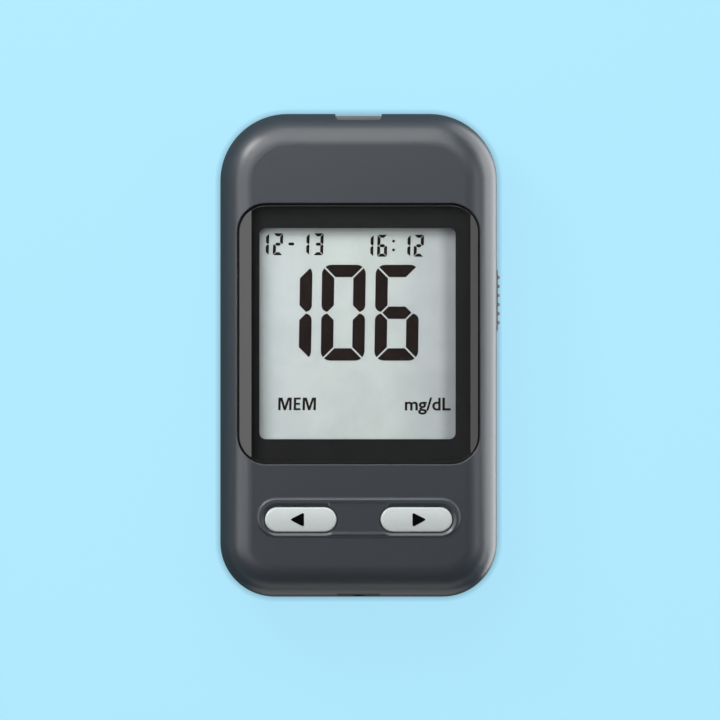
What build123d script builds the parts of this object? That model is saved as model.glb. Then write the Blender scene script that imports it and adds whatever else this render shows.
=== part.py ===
"""Blood glucose meter with a display, two buttons, a strip port with an ejector and coin cells.

The meter lies on its back: +Z points out of the display, +Y towards the strip port and +X to the
reader's right. The origin is the centre of the rear face that it rests on. All sizes are in mm.
"""

import os
from math import sqrt

from build123d import *

os.makedirs("parts", exist_ok=True)

# Case
CASE_WIDTH = 52.0
CASE_LENGTH = 90.8
CASE_DEPTH = 16.5
WALL = 1.6
UPPER_CORNER_RADIUS = 12.6
LOWER_CORNER_RADIUS = 10.2
FRONT_ROUND = 6.0
REAR_ROUND = 3.5
PARTING_BELOW_BOARD = 0.1
PARTING_CHAMFER = 0.2
LIP_WIDTH = 0.75
LIP_HEIGHT = 1.0

# Gaps
FIT = 0.05  # between still pieces that fit into each other
RUNNING_GAP = 0.3  # between pieces that move past each other
PIN_GAP = 0.03  # round a pin or a screw in its hole

# Display window
LENS_SIDE_MARGIN = 3.59  # from the lens to the case's side
LENS_FROM_TOP_END = 17.2
LENS_FROM_BOTTOM_END = 25.28
LENS_CORNER_RADIUS = 5.1
LENS_THICKNESS = 1.5
LENS_EDGE_ROUND = 0.2
LENS_LEFT_FACET = 2.3
LENS_RIGHT_FACET = 1.4
LENS_GROOVE = 0.35
POCKET_EDGE_ROUND = 0.2
GASKET_THICKNESS = 0.3
LEDGE_THICKNESS = 1.2
LEDGE_MARGIN = 0.9
WINDOW_SIDE_MARGIN = 3.98  # from the window to the lens's edge
WINDOW_END_MARGIN = 4.33
WINDOW_CORNER_RADIUS = 1.2
WINDOW_SHIFT = 0.2
WINDOW_RISE = 0.03
LEDGE_WINDOW_MARGIN = 0.4

# Liquid crystal cell and its frame
POLARIZER_THICKNESS = 0.2
GLASS_THICKNESS = 0.7
GLASS_SIDE_OVERLAP = 1.4  # of the glass behind the window's edge
GLASS_END_OVERLAP = 3.25
REAR_GLASS_SETBACK = 2.5  # of the rear glass from the front glass's end
GLASS_DEPTH_BELOW_LEDGE = 0.2
LCD_FRAME_WALL = 1.2
LCD_FLOOR_THICKNESS = 1.0
LCD_PEG_RADIUS = 0.8
LCD_PEG_INSET = 2.0
ZEBRA_THICKNESS = 1.5
ZEBRA_END_INSET = 1.8

# Main board
BOARD_FROM_FRONT = 8.9  # from the board's underside to the case's front
BOARD_THICKNESS = 1.0
BOARD_EDGE_GAP = 0.8

# Buttons and their switches
BUTTON_LENGTH = 13.46
BUTTON_WIDTH = 4.7
BUTTON_FROM_BOTTOM_END = 14.52
BUTTON_PROUD = 0.45
BUTTON_CROWN = 0.3
BUTTON_EDGE_ROUND = 0.4
BUTTON_SIDE_GAP = 0.2
BUTTON_TRAVEL = 0.5
BUTTON_FLANGE_MARGIN = 1.0
BUTTON_FLANGE_THICKNESS = 0.6
BUTTON_STEM_RADIUS = 1.4
RIM_SIDE_MARGIN = 6.72  # from the rim to the case's side
RIM_END_MARGIN = 1.675  # from the rim's end to the button
RIM_WIDTH = 7.6
RIM_RISE = 0.41  # of the rim's middle over the buttons' middle
RIM_HEIGHT = 0.35
RIM_OUTER_ROUND = 0.6
DISH_MARGIN = 0.75
DISH_DEPTH = 0.3
PANEL_END_MARGIN = 5.1  # from the panel's end to the button's middle
PANEL_WIDTH = 6.1
PANEL_WALL_RUN = 0.35
SWITCH_SIZE = 6.0
SWITCH_HEIGHT = 1.8
SWITCH_LEG_WIDTH = 0.7
SWITCH_LEG_LENGTH = 1.0
SWITCH_LEG_THICKNESS = 0.2
PLUNGER_RADIUS = 1.0
PLUNGER_LENGTH = 1.4
PLUNGER_PROUD = 0.7
PLUNGER_GAP = 0.08

# Strip port, strip connector and ejector
PORT_WIDTH = 8.6
PORT_INSET = 0.4
PORT_FROM_FRONT = 3.4
PORT_LEDGE = 0.75
PORT_NOTCH_CORNER = 0.6
PORT_EDGE_ROUND = 0.3
PORT_FLANGE_WIDTH = 11.2
PORT_FLANGE_HEIGHT = 4.6
PORT_FLANGE_THICKNESS = 0.8
PORT_FLANGE_CLEARANCE = 0.6  # from the flange to the case's end wall
PORT_MOUTH_FLARE = 0.5
STRIP_SLOT_WIDTH = 7.2
STRIP_SLOT_HEIGHT = 1.1
STRIP_SLOT_RISE = 1.05  # from the board up to the slot
CONNECTOR_WIDTH = 11.0
CONNECTOR_LENGTH = 6.5
CONNECTOR_HEIGHT = 3.2
CONNECTOR_GAP = 0.2  # from the connector to the port bezel
CONTACT_WIDTH = 0.5
CONTACT_THICKNESS = 0.2
CONTACT_OFFSETS = (2.1, 3.0)
CONTACT_ARCH_BACK = 0.9  # from the housing's back to the contacts' windows
CONTACT_ARCH_FRONT = 1.0  # from the windows to the housing's front
CONTACT_TIP_REACH = 1.0
EJECTOR_TRAVEL = 4.0
EJECTOR_ARM_WIDTH = 2.1
EJECTOR_ARM_THICKNESS = 1.7
EJECTOR_CROSS_WIDTH = 1.8
EJECTOR_FINGER_WIDTH = 2.8
EJECTOR_FINGER_THICKNESS = 0.5
EJECTOR_CORNER_RADIUS = 0.5
KNOB_FROM_TOP_END = 35.0
KNOB_LENGTH = 11.5
KNOB_WIDTH = 4.0
KNOB_RISE = 0.6  # of the knob's middle over the parting line
KNOB_THICKNESS = 0.65
KNOB_PROUD = 0.2
KNOB_RIDGES = 6
KNOB_RIDGE_PITCH = 1.71
KNOB_RIDGE_WIDTH = 0.75
KNOB_RIDGE_HEIGHT = 0.35
KNOB_RIDGE_LENGTH = 3.2
KNOB_RIDGE_ANGLE = 65
KNOB_CORNER_RADIUS = 0.6
KNOB_STEM_LENGTH = 4.0
KNOB_STEM_WIDTH = 1.7
KNOB_PEG_RADIUS = 0.5
KNOB_PEG_LENGTH = 1.2
SPRING_RADIUS = 0.85
SPRING_WIRE_RADIUS = 0.14
SPRING_TURNS = 5
SPRING_PIN_RADIUS = 0.55
SPRING_PIN_LENGTH = 1.2
SPRING_STOP_THICKNESS = 0.9
SPRING_STOP_BACKSET = 0.75  # of the stop from the middle of its boss
SPRING_INSET = 1.9

# Coin cells, their contacts and the battery door
CELL_RADIUS = 10.0
CELL_CAN_STEP = 0.5
CELL_GAP = 0.4
CELL_BOTTOM = 2.6
CELL_ROW_FROM_BOTTOM_END = 20.6
CELL_POCKET_GAP = 0.3
CONTACT_SPACE = 0.4
TRAY_ROOF_THICKNESS = 0.8
TRAY_BELOW_BOARD = 0.6
TRAY_WALL = 1.2
BATTERY_STRIP_THICKNESS = 0.25
BATTERY_STRIP_WIDTH = 4.0
BATTERY_STRIP_LENGTH = 12.0
BATTERY_TAB_WIDTH = 1.2
DOOR_SIDE_MARGIN = 4.0
DOOR_LENGTH = 32.6
DOOR_THICKNESS = 1.45
DOOR_INSET = 0.15
DOOR_GAP = 0.15
DOOR_END_HEIGHT = 3.55
DOOR_BAY_HEIGHT = 2.75
DOOR_RIB_HEIGHT = 0.7
DOOR_RIB_WIDTH = 1.0
DOOR_TONGUE_WIDTH = 4.0
DOOR_TONGUE_REACH = 2.0
DOOR_TONGUE_THICKNESS = 0.6
DOOR_TONGUE_SPACING = 16.0
HOOK_LENGTH = 3.0
HOOK_STEM_WIDTH = 0.7
HOOK_LIP_WIDTH = 0.7
HOOK_LIP_THICKNESS = 0.65
RAIL_THICKNESS = 0.75
GRIP_GROOVES = 5
GRIP_GROOVE_PITCH = 1.6
GRIP_GROOVE_RADIUS = 0.35
GRIP_GROOVE_LENGTH = 14.0
GRIP_FROM_BOTTOM_END = 10.5
DOOR_ARROW_RADIUS = 2.6
DOOR_ARROW_DEPTH = 0.2
DOOR_ARROW_FROM_GRIP = 8.0

# Data jack at the lower end
DATA_BEZEL_WIDTH = 7.9
DATA_BEZEL_FROM_FRONT = 3.5
DATA_BEZEL_HOLE_RADIUS = 1.7
DATA_FLANGE_MARGIN = 0.9
DATA_FLANGE_THICKNESS = 0.6
DATA_FLANGE_FROM_END = 2.9
JACK_WIDTH = 5.6
JACK_HEIGHT = 4.4
JACK_LENGTH = 8.0
JACK_BORE_RADIUS = 1.3
JACK_BORE_LENGTH = 7.2
JACK_TERMINAL_THICKNESS = 0.25
JACK_TERMINAL_WIDTH = 1.0
JACK_TERMINAL_HEIGHT = 2.6

# Screws and bosses
CASE_BOSS_RADIUS = 2.5
CASE_TOWER_RADIUS = 2.9
BOSS_MEETING_BELOW_BOARD = 0.3
CASE_SCREW_RADIUS = 1.0
CASE_SCREW_LENGTH = 8.5
CASE_SCREW_HEAD_RADIUS = 1.9
CASE_SCREW_HEAD_HEIGHT = 1.3
CASE_SCREW_SEAT = 2.0
LOWER_SCREW_SEAT = 4.2
SCREW_HEAD_GAP = 0.2
SCREW_RECESS_SIZE = 1.5
SCREW_RECESS_WIDTH = 0.35
SCREW_RECESS_DEPTH = 0.6
UPPER_BOSS_FROM_END = 7.4
UPPER_BOSS_FROM_SIDE = 8.0
LOWER_BOSS_FROM_END = 8.0
LOWER_BOSS_FROM_SIDE = 8.2
BOARD_POST_RADIUS = 1.9
BOARD_POST_FROM_BOSS = 7.0
UPPER_POST_FROM_END = 7.0
LOWER_POST_FROM_END = 5.0
BOARD_SCREW_RADIUS = 0.8
BOARD_SCREW_LENGTH = 4.5
BOARD_SCREW_HEAD_RADIUS = 1.4
BOARD_SCREW_HEAD_HEIGHT = 0.9

# Electronics and label
CONTROLLER_SIZE = 10.0
CONTROLLER_HEIGHT = 1.1
CONTROLLER_LEGS = 10
CONTROLLER_LEG_PITCH = 0.8
ANALOG_LENGTH = 8.6
ANALOG_WIDTH = 3.9
ANALOG_LEGS = 7
MEMORY_LENGTH = 4.9
MEMORY_LEGS = 4
SMALL_LEG_PITCH = 1.27
SMALL_CHIP_HEIGHT = 1.2
CHIP_STANDOFF = 0.1
LEG_WIDTH = 0.35
LEG_THICKNESS = 0.2
LEG_REACH = 1.0
CRYSTAL_RADIUS = 0.75
CRYSTAL_LENGTH = 5.0
PASSIVE_LENGTH = 1.6
PASSIVE_WIDTH = 0.8
CAPACITOR_HEIGHT = 0.8
RESISTOR_HEIGHT = 0.5
PASSIVE_PITCH = 2.2
PASSIVES_PER_ROW = 6
BUZZER_RADIUS = 6.0
BUZZER_HEIGHT = 2.4
BUZZER_HOLE_RADIUS = 1.0
BUZZER_FROM_SIDE = 13.0
BUZZER_FROM_DOOR = 9.0
SOUND_HOLE_RADIUS = 0.6
SOUND_HOLE_CIRCLE = 2.3
SOUND_HOLES = 6
LABEL_SIDE_MARGIN = 11.0
LABEL_FROM_DOOR = 20.8
LABEL_CORNER_RADIUS = 2.0
LABEL_RECESS = 0.2
LABEL_THICKNESS = 0.15
LABEL_FROM_TOP_END = 11.5

# Heights and places that follow from the sizes above
TOP_END = CASE_LENGTH / 2
BOTTOM_END = -CASE_LENGTH / 2
RIGHT_SIDE = CASE_WIDTH / 2
CEILING = CASE_DEPTH - WALL
LENS_WIDTH = CASE_WIDTH - 2 * LENS_SIDE_MARGIN
LENS_LENGTH = CASE_LENGTH - LENS_FROM_TOP_END - LENS_FROM_BOTTOM_END
LENS_UNDERSIDE = CASE_DEPTH - LENS_THICKNESS
GASKET_SEAT = LENS_UNDERSIDE - GASKET_THICKNESS
LEDGE_UNDERSIDE = GASKET_SEAT - LEDGE_THICKNESS
LENS_Y = TOP_END - LENS_FROM_TOP_END - LENS_LENGTH / 2
LENS_SIDE_DROP = FRONT_ROUND - sqrt(FRONT_ROUND**2 - (FRONT_ROUND - LENS_SIDE_MARGIN) ** 2)
WINDOW_WIDTH = LENS_WIDTH - 2 * WINDOW_SIDE_MARGIN
WINDOW_LENGTH = LENS_LENGTH - 2 * WINDOW_END_MARGIN
WINDOW_X = -WINDOW_SHIFT
WINDOW_Y = LENS_Y + WINDOW_RISE
BOARD_HEIGHT = CASE_DEPTH - BOARD_FROM_FRONT
BOARD_TOP = BOARD_HEIGHT + BOARD_THICKNESS
PARTING_HEIGHT = BOARD_HEIGHT - PARTING_BELOW_BOARD
CASE_BOSS_MEETING_HEIGHT = BOARD_HEIGHT - BOSS_MEETING_BELOW_BOARD
RIM_LENGTH = CASE_WIDTH - 2 * RIM_SIDE_MARGIN
BUTTON_SPACING = RIM_LENGTH - BUTTON_LENGTH - 2 * RIM_END_MARGIN
BUTTON_Y = BOTTOM_END + BUTTON_FROM_BOTTOM_END
RIM_Y = BUTTON_Y + RIM_RISE
PANEL_LENGTH = BUTTON_SPACING - 2 * PANEL_END_MARGIN
BUTTON_TOP = CASE_DEPTH + BUTTON_PROUD
SWITCH_TOP = BOARD_TOP + SWITCH_HEIGHT
PLUNGER_TOP = SWITCH_TOP + PLUNGER_PROUD
LCD_FRAME_TOP = LEDGE_UNDERSIDE - FIT
FRONT_GLASS_TOP = LEDGE_UNDERSIDE - GLASS_DEPTH_BELOW_LEDGE - POLARIZER_THICKNESS
FRONT_GLASS_BOTTOM = FRONT_GLASS_TOP - GLASS_THICKNESS
REAR_GLASS_BOTTOM = FRONT_GLASS_BOTTOM - GLASS_THICKNESS
REFLECTOR_BOTTOM = REAR_GLASS_BOTTOM - POLARIZER_THICKNESS
GLASS_WIDTH = WINDOW_WIDTH + 2 * GLASS_SIDE_OVERLAP
FRONT_GLASS_LENGTH = WINDOW_LENGTH + 2 * GLASS_END_OVERLAP
REAR_GLASS_LENGTH = FRONT_GLASS_LENGTH - 2 * REAR_GLASS_SETBACK
LCD_FRAME_WIDTH = GLASS_WIDTH + 2 * (LCD_FRAME_WALL + FIT)
LCD_FRAME_LENGTH = FRONT_GLASS_LENGTH + 2 * (LCD_FRAME_WALL + FIT)
ZEBRA_LENGTH = GLASS_WIDTH - 2 * ZEBRA_END_INSET
ZEBRA_OFFSET = (FRONT_GLASS_LENGTH + REAR_GLASS_LENGTH) / 4
STRIP_SLOT_BOTTOM = BOARD_TOP + STRIP_SLOT_RISE
STRIP_SLOT_MIDDLE = STRIP_SLOT_BOTTOM + STRIP_SLOT_HEIGHT / 2
PORT_TOP = CASE_DEPTH - PORT_FROM_FRONT
PORT_FACE = TOP_END - PORT_INSET
PORT_INNER_FACE = TOP_END - WALL - PORT_FLANGE_THICKNESS - PORT_FLANGE_CLEARANCE
CONNECTOR_FRONT = PORT_INNER_FACE - CONNECTOR_GAP
CONNECTOR_BACK = CONNECTOR_FRONT - CONNECTOR_LENGTH
EJECTOR_BOTTOM = BOARD_TOP + RUNNING_GAP
CROSS_ARM_FRONT = CONNECTOR_BACK - RUNNING_GAP - EJECTOR_TRAVEL - CONTACT_THICKNESS - RUNNING_GAP
CROSS_ARM_BACK = CROSS_ARM_FRONT - EJECTOR_CROSS_WIDTH
ARM_OUTER_X = RIGHT_SIDE - WALL - LIP_HEIGHT / 2
ARM_INNER_X = ARM_OUTER_X - EJECTOR_ARM_WIDTH
KNOB_Y = TOP_END - KNOB_FROM_TOP_END
KNOB_MIDDLE_Z = PARTING_HEIGHT + KNOB_RISE
KNOB_OUTER_X = RIGHT_SIDE + KNOB_PROUD
KNOB_INNER_X = KNOB_OUTER_X - KNOB_THICKNESS
KNOB_STEM_TOP = KNOB_MIDDLE_Z + KNOB_STEM_WIDTH
KNOB_PEG_Z = (EJECTOR_BOTTOM + KNOB_STEM_TOP) / 2
ARM_BACK_END = KNOB_Y - KNOB_STEM_LENGTH / 2
SPRING_Z = EJECTOR_BOTTOM + EJECTOR_ARM_THICKNESS / 2
SPRING_X = ARM_OUTER_X - SPRING_INSET
SPRING_STOP_Y = TOP_END - UPPER_BOSS_FROM_END - SPRING_STOP_BACKSET
CELL_X = CELL_RADIUS + CELL_GAP / 2
CELL_Y = BOTTOM_END + CELL_ROW_FROM_BOTTOM_END
CELL_PLACES = [(-CELL_X, CELL_Y), (CELL_X, CELL_Y)]
POSITIVE_STRIP_Y = CELL_Y + CELL_RADIUS + FIT + BATTERY_STRIP_THICKNESS / 2
NEGATIVE_TAB_Y = CELL_Y + (BATTERY_STRIP_LENGTH - BATTERY_STRIP_THICKNESS) / 2
TRAY_TOP = BOARD_HEIGHT - TRAY_BELOW_BOARD
TRAY_ROOF_BOTTOM = TRAY_TOP - TRAY_ROOF_THICKNESS
CELL_TOP = TRAY_ROOF_BOTTOM - CONTACT_SPACE
CELL_THICKNESS = CELL_TOP - CELL_BOTTOM
POCKET_RADIUS = CELL_RADIUS + CELL_POCKET_GAP
TRAY_FRONT = CELL_Y + POCKET_RADIUS + TRAY_WALL
TRAY_BACK = CELL_Y - POCKET_RADIUS - TRAY_WALL
ANALOG_PLACE = (-CONNECTOR_WIDTH - FIT, (CROSS_ARM_BACK + CONNECTOR_BACK) / 2)
DOOR_WIDTH = CASE_WIDTH - 2 * DOOR_SIDE_MARGIN
DOOR_FRONT = BOTTOM_END + DOOR_LENGTH
GRIP_Y = BOTTOM_END + GRIP_FROM_BOTTOM_END
LABEL_WIDTH = CASE_WIDTH - 2 * LABEL_SIDE_MARGIN
LABEL_LENGTH = TOP_END - LABEL_FROM_TOP_END - LABEL_FROM_DOOR - DOOR_FRONT
LABEL_Y = TOP_END - LABEL_FROM_TOP_END - LABEL_LENGTH / 2
BUZZER_PLACE = (BUZZER_FROM_SIDE - RIGHT_SIDE, DOOR_FRONT + BUZZER_FROM_DOOR)
UPPER_BOSS_X = RIGHT_SIDE - UPPER_BOSS_FROM_SIDE
LOWER_BOSS_X = RIGHT_SIDE - LOWER_BOSS_FROM_SIDE
BOARD_POST_X = UPPER_BOSS_X - BOARD_POST_FROM_BOSS
DOOR_TOP = DOOR_INSET + DOOR_THICKNESS
HOOK_LIP_EDGE = DOOR_WIDTH / 2 - FIT
HOOK_STEM_OUTER_X = HOOK_LIP_EDGE - HOOK_LIP_WIDTH
HOOK_STEM_INNER_X = HOOK_STEM_OUTER_X - HOOK_STEM_WIDTH
RAIL_BOTTOM = DOOR_TOP + DOOR_GAP
RAIL_TOP = RAIL_BOTTOM + RAIL_THICKNESS
HOOK_LIP_BOTTOM = RAIL_TOP + DOOR_GAP
HOOK_LIP_TOP = HOOK_LIP_BOTTOM + HOOK_LIP_THICKNESS
DATA_BEZEL_TOP = CASE_DEPTH - DATA_BEZEL_FROM_FRONT
DATA_HOLE_Z = BOARD_TOP + JACK_HEIGHT / 2
DATA_FLANGE_BACK = BOTTOM_END + DATA_FLANGE_FROM_END
JACK_FRONT = DATA_FLANGE_BACK + 2 * FIT
CASE_BOSSES = [
    (side * x, y)
    for x, y in (
        (UPPER_BOSS_X, TOP_END - UPPER_BOSS_FROM_END),
        (LOWER_BOSS_X, BOTTOM_END + LOWER_BOSS_FROM_END),
    )
    for side in (-1, 1)
]
CASE_SCREW_SEATS = [CASE_SCREW_SEAT, CASE_SCREW_SEAT, LOWER_SCREW_SEAT, LOWER_SCREW_SEAT]
BOARD_POSTS = [
    (side * BOARD_POST_X, y)
    for y in (TOP_END - UPPER_POST_FROM_END, BOTTOM_END + LOWER_POST_FROM_END)
    for side in (-1, 1)
]
LCD_PEGS = [
    (
        WINDOW_X + side * (LCD_FRAME_WIDTH / 2 - LCD_PEG_INSET),
        WINDOW_Y + end * (LCD_FRAME_LENGTH / 2 - LCD_FRAME_WALL / 2),
    )
    for side, end in ((-1, -1), (1, 1))
]

SEATED = (Align.CENTER, Align.CENTER, Align.MIN)
HUNG = (Align.CENTER, Align.CENTER, Align.MAX)
BEYOND = 5.0  # how far a cutting tool runs past the surface that it opens


def save(part, name):
    """Label a finished piece and write it."""
    part.label = name
    export_step(part, f"parts/{name}.step")


def case_form(inset, bottom, top, rear_round=0.0, front_round=0.0):
    """Solid with the case's outline, drawn in by inset, and rounded rear and front edges."""
    with BuildPart(mode=Mode.PRIVATE) as form:
        with BuildSketch(Plane.XY.offset(bottom)) as outline:
            Rectangle(CASE_WIDTH - 2 * inset, CASE_LENGTH - 2 * inset)
            fillet(outline.vertices().group_by(Axis.Y)[-1], UPPER_CORNER_RADIUS - inset)
            fillet(outline.vertices().group_by(Axis.Y)[0], LOWER_CORNER_RADIUS - inset)
        extrude(amount=top - bottom)
        if front_round:
            fillet(form.faces().sort_by(Axis.Z)[-1].edges(), front_round)
        if rear_round:
            fillet(form.faces().sort_by(Axis.Z)[0].edges(), rear_round)
    return form.part


def both_ways(half):
    """Span from minus half to half."""
    return (-half, half)


def block(x_span, y_span, z_span):
    """Plain block between two opposite corners, for bays, lanes and slots."""
    with BuildPart(mode=Mode.PRIVATE) as solid:
        with BuildSketch(Plane.XY.offset(z_span[0])):
            with Locations((sum(x_span) / 2, sum(y_span) / 2)):
                Rectangle(x_span[1] - x_span[0], y_span[1] - y_span[0])
        extrude(amount=z_span[1] - z_span[0])
    return solid.part


envelope = case_form(0.0, 0.0, CASE_DEPTH, REAR_ROUND, FRONT_ROUND)
cavity = case_form(WALL, WALL, CEILING, REAR_ROUND - WALL, FRONT_ROUND - WALL)
lip_band = case_form(WALL - LIP_WIDTH, PARTING_HEIGHT - WALL / 2, PARTING_HEIGHT + LIP_HEIGHT)
lip_rebate = case_form(WALL - LIP_WIDTH - FIT, 0.0, PARTING_HEIGHT + LIP_HEIGHT + FIT)

# Openings that both covers share: the ejector knob's recess and slot, and the two ports
knob_recess = block(
    (KNOB_INNER_X - RUNNING_GAP, RIGHT_SIDE + BEYOND),
    (
        KNOB_Y - KNOB_LENGTH / 2 - RUNNING_GAP,
        KNOB_Y + KNOB_LENGTH / 2 + EJECTOR_TRAVEL + RUNNING_GAP,
    ),
    (
        KNOB_MIDDLE_Z - KNOB_WIDTH / 2 - RUNNING_GAP,
        KNOB_MIDDLE_Z + KNOB_WIDTH / 2 + RUNNING_GAP,
    ),
)
stem_slot = block(
    (ARM_OUTER_X, RIGHT_SIDE),
    (
        KNOB_Y - KNOB_STEM_LENGTH / 2 - RUNNING_GAP,
        KNOB_Y + KNOB_STEM_LENGTH / 2 + EJECTOR_TRAVEL + RUNNING_GAP,
    ),
    (PARTING_HEIGHT, KNOB_STEM_TOP + RUNNING_GAP),
)
port_opening = block(
    (-PORT_WIDTH / 2 - FIT, PORT_WIDTH / 2 + FIT),
    (PORT_INNER_FACE - FIT, TOP_END + BEYOND),
    (PARTING_HEIGHT, PORT_TOP + FIT),
)
end_notch = block(
    both_ways(PORT_WIDTH / 2 + FIT), (PORT_FACE, TOP_END + BEYOND), (0, CASE_DEPTH)
)
data_opening = block(
    (-DATA_BEZEL_WIDTH / 2 - FIT, DATA_BEZEL_WIDTH / 2 + FIT),
    (BOTTOM_END - BEYOND, DATA_FLANGE_BACK),
    (PARTING_HEIGHT, DATA_BEZEL_TOP + FIT),
)


def lens_outline(margin=0.0):
    """Rounded outline of the lens, drawn out by margin, for use inside a sketch."""
    with Locations((0, LENS_Y)):
        RectangleRounded(
            LENS_WIDTH + 2 * margin, LENS_LENGTH + 2 * margin, LENS_CORNER_RADIUS + margin
        )


def window_outline(margin=0.0):
    """Rounded outline of the display window, drawn out by margin, for use inside a sketch."""
    with Locations((WINDOW_X, WINDOW_Y)):
        RectangleRounded(
            WINDOW_WIDTH + 2 * margin, WINDOW_LENGTH + 2 * margin, WINDOW_CORNER_RADIUS + margin
        )


def button_outlines(margin, sides=(-1, 1)):
    """Outline of the button caps, drawn out by margin, for use inside a sketch."""
    with Locations([(side * BUTTON_SPACING / 2, BUTTON_Y) for side in sides]):
        SlotOverall(BUTTON_LENGTH + 2 * margin, BUTTON_WIDTH + 2 * margin)


def rim_form():
    """Long plate with a rounded upper edge, which stands out of the case round the buttons."""
    with BuildPart(mode=Mode.PRIVATE) as rim:
        with BuildSketch(Plane.XY.offset(CASE_DEPTH - WALL / 2)):
            with Locations((0, RIM_Y)):
                SlotOverall(RIM_LENGTH, RIM_WIDTH)
        extrude(amount=WALL / 2 + RIM_HEIGHT)
        fillet(rim.faces().sort_by(Axis.Z)[-1].edges(), RIM_OUTER_ROUND)
    return rim.part


button_rim = rim_form()

# Front cover: a shell with a pocket for the lens, a raised rim round the buttons, bosses and posts
with BuildPart() as front_cover:
    add(envelope)
    split(bisect_by=Plane.XY.offset(PARTING_HEIGHT), keep=Keep.TOP)
    chamfer(front_cover.faces().sort_by(Axis.Z)[0].outer_wire().edges(), PARTING_CHAMFER)
    add(cavity, mode=Mode.SUBTRACT)
    add(lip_rebate, mode=Mode.SUBTRACT)
    with BuildSketch(Plane.XY.offset(LEDGE_UNDERSIDE)):
        lens_outline(LENS_GROOVE + LEDGE_MARGIN)
    extrude(amount=CASE_DEPTH - LEDGE_UNDERSIDE)
    with BuildSketch(Plane.XY.offset(CASE_BOSS_MEETING_HEIGHT)):
        with Locations(CASE_BOSSES):
            Circle(CASE_BOSS_RADIUS)
    extrude(amount=CASE_DEPTH - CASE_BOSS_MEETING_HEIGHT)
    with BuildSketch(Plane.XY.offset(BOARD_TOP)):
        with Locations(BOARD_POSTS):
            Circle(BOARD_POST_RADIUS)
    extrude(amount=CASE_DEPTH - BOARD_TOP)
    # stop for the ejector spring, between the upper right boss and the side wall
    add(
        block(
            (UPPER_BOSS_X + CASE_BOSS_RADIUS / 2, SPRING_X + SPRING_RADIUS + WALL),
            (SPRING_STOP_Y, SPRING_STOP_Y + SPRING_STOP_THICKNESS),
            (EJECTOR_BOTTOM, CEILING + WALL / 2),
        )
    )
    add(envelope, mode=Mode.INTERSECT)
    # pocket and window for the lens
    with BuildSketch(Plane.XY.offset(GASKET_SEAT)):
        lens_outline(LENS_GROOVE)
    extrude(amount=CASE_DEPTH - GASKET_SEAT, mode=Mode.SUBTRACT)
    pocket_edges = front_cover.edges(Select.LAST).filter_by(Axis.Z, reverse=True)
    fillet(
        pocket_edges.filter_by_position(Axis.Z, LENS_UNDERSIDE, CASE_DEPTH), POCKET_EDGE_ROUND
    )
    with BuildSketch(Plane.XY.offset(LEDGE_UNDERSIDE)):
        window_outline(LEDGE_WINDOW_MARGIN)
    extrude(amount=LEDGE_THICKNESS, mode=Mode.SUBTRACT)
    # raised rim round both buttons, with a level panel between them and a dish round each
    add(button_rim)
    with BuildSketch(Plane.XY.offset(CASE_DEPTH + RIM_HEIGHT)):
        with Locations((0, RIM_Y)):
            Rectangle(PANEL_LENGTH, PANEL_WIDTH)
    with BuildSketch(Plane.XY.offset(CASE_DEPTH)):
        with Locations((0, RIM_Y)):
            Rectangle(PANEL_LENGTH - 2 * PANEL_WALL_RUN, PANEL_WIDTH - 2 * PANEL_WALL_RUN)
    loft(mode=Mode.SUBTRACT)
    for side in (-1, 1):
        with BuildSketch(Plane.XY.offset(CASE_DEPTH + RIM_HEIGHT)):
            button_outlines(DISH_MARGIN, (side,))
        with BuildSketch(Plane.XY.offset(CASE_DEPTH + RIM_HEIGHT - DISH_DEPTH)):
            button_outlines(BUTTON_SIDE_GAP, (side,))
        loft(mode=Mode.SUBTRACT)
    with BuildSketch(Plane.XY.offset(CEILING)):
        button_outlines(BUTTON_SIDE_GAP)
    extrude(amount=WALL + RIM_HEIGHT, mode=Mode.SUBTRACT)
    # ports, ejector slot and screw holes
    for opening in (port_opening, end_notch, data_opening, knob_recess, stem_slot):
        add(opening, mode=Mode.SUBTRACT)
    with BuildSketch(Plane.XY.offset(PORT_TOP)) as port_notch:
        with Locations((0, PORT_FACE - PORT_LEDGE)):
            Rectangle(PORT_WIDTH + 2 * FIT, BEYOND, align=(Align.CENTER, Align.MIN))
        fillet(port_notch.vertices().group_by(Axis.Y)[0], PORT_NOTCH_CORNER)
    extrude(amount=CASE_DEPTH - PORT_TOP, mode=Mode.SUBTRACT)
    for (x, y), seat in zip(CASE_BOSSES, CASE_SCREW_SEATS):
        with Locations((x, y, CASE_BOSS_MEETING_HEIGHT)):
            Cylinder(
                CASE_SCREW_RADIUS + PIN_GAP,
                seat + CASE_SCREW_LENGTH + RUNNING_GAP - CASE_BOSS_MEETING_HEIGHT,
                align=SEATED,
                mode=Mode.SUBTRACT,
            )
    with Locations([(x, y, BOARD_TOP) for x, y in BOARD_POSTS]):
        Cylinder(
            BOARD_SCREW_RADIUS + PIN_GAP,
            BOARD_SCREW_LENGTH - BOARD_THICKNESS + RUNNING_GAP,
            align=SEATED,
            mode=Mode.SUBTRACT,
        )
save(front_cover.part, "front_cover")


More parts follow.
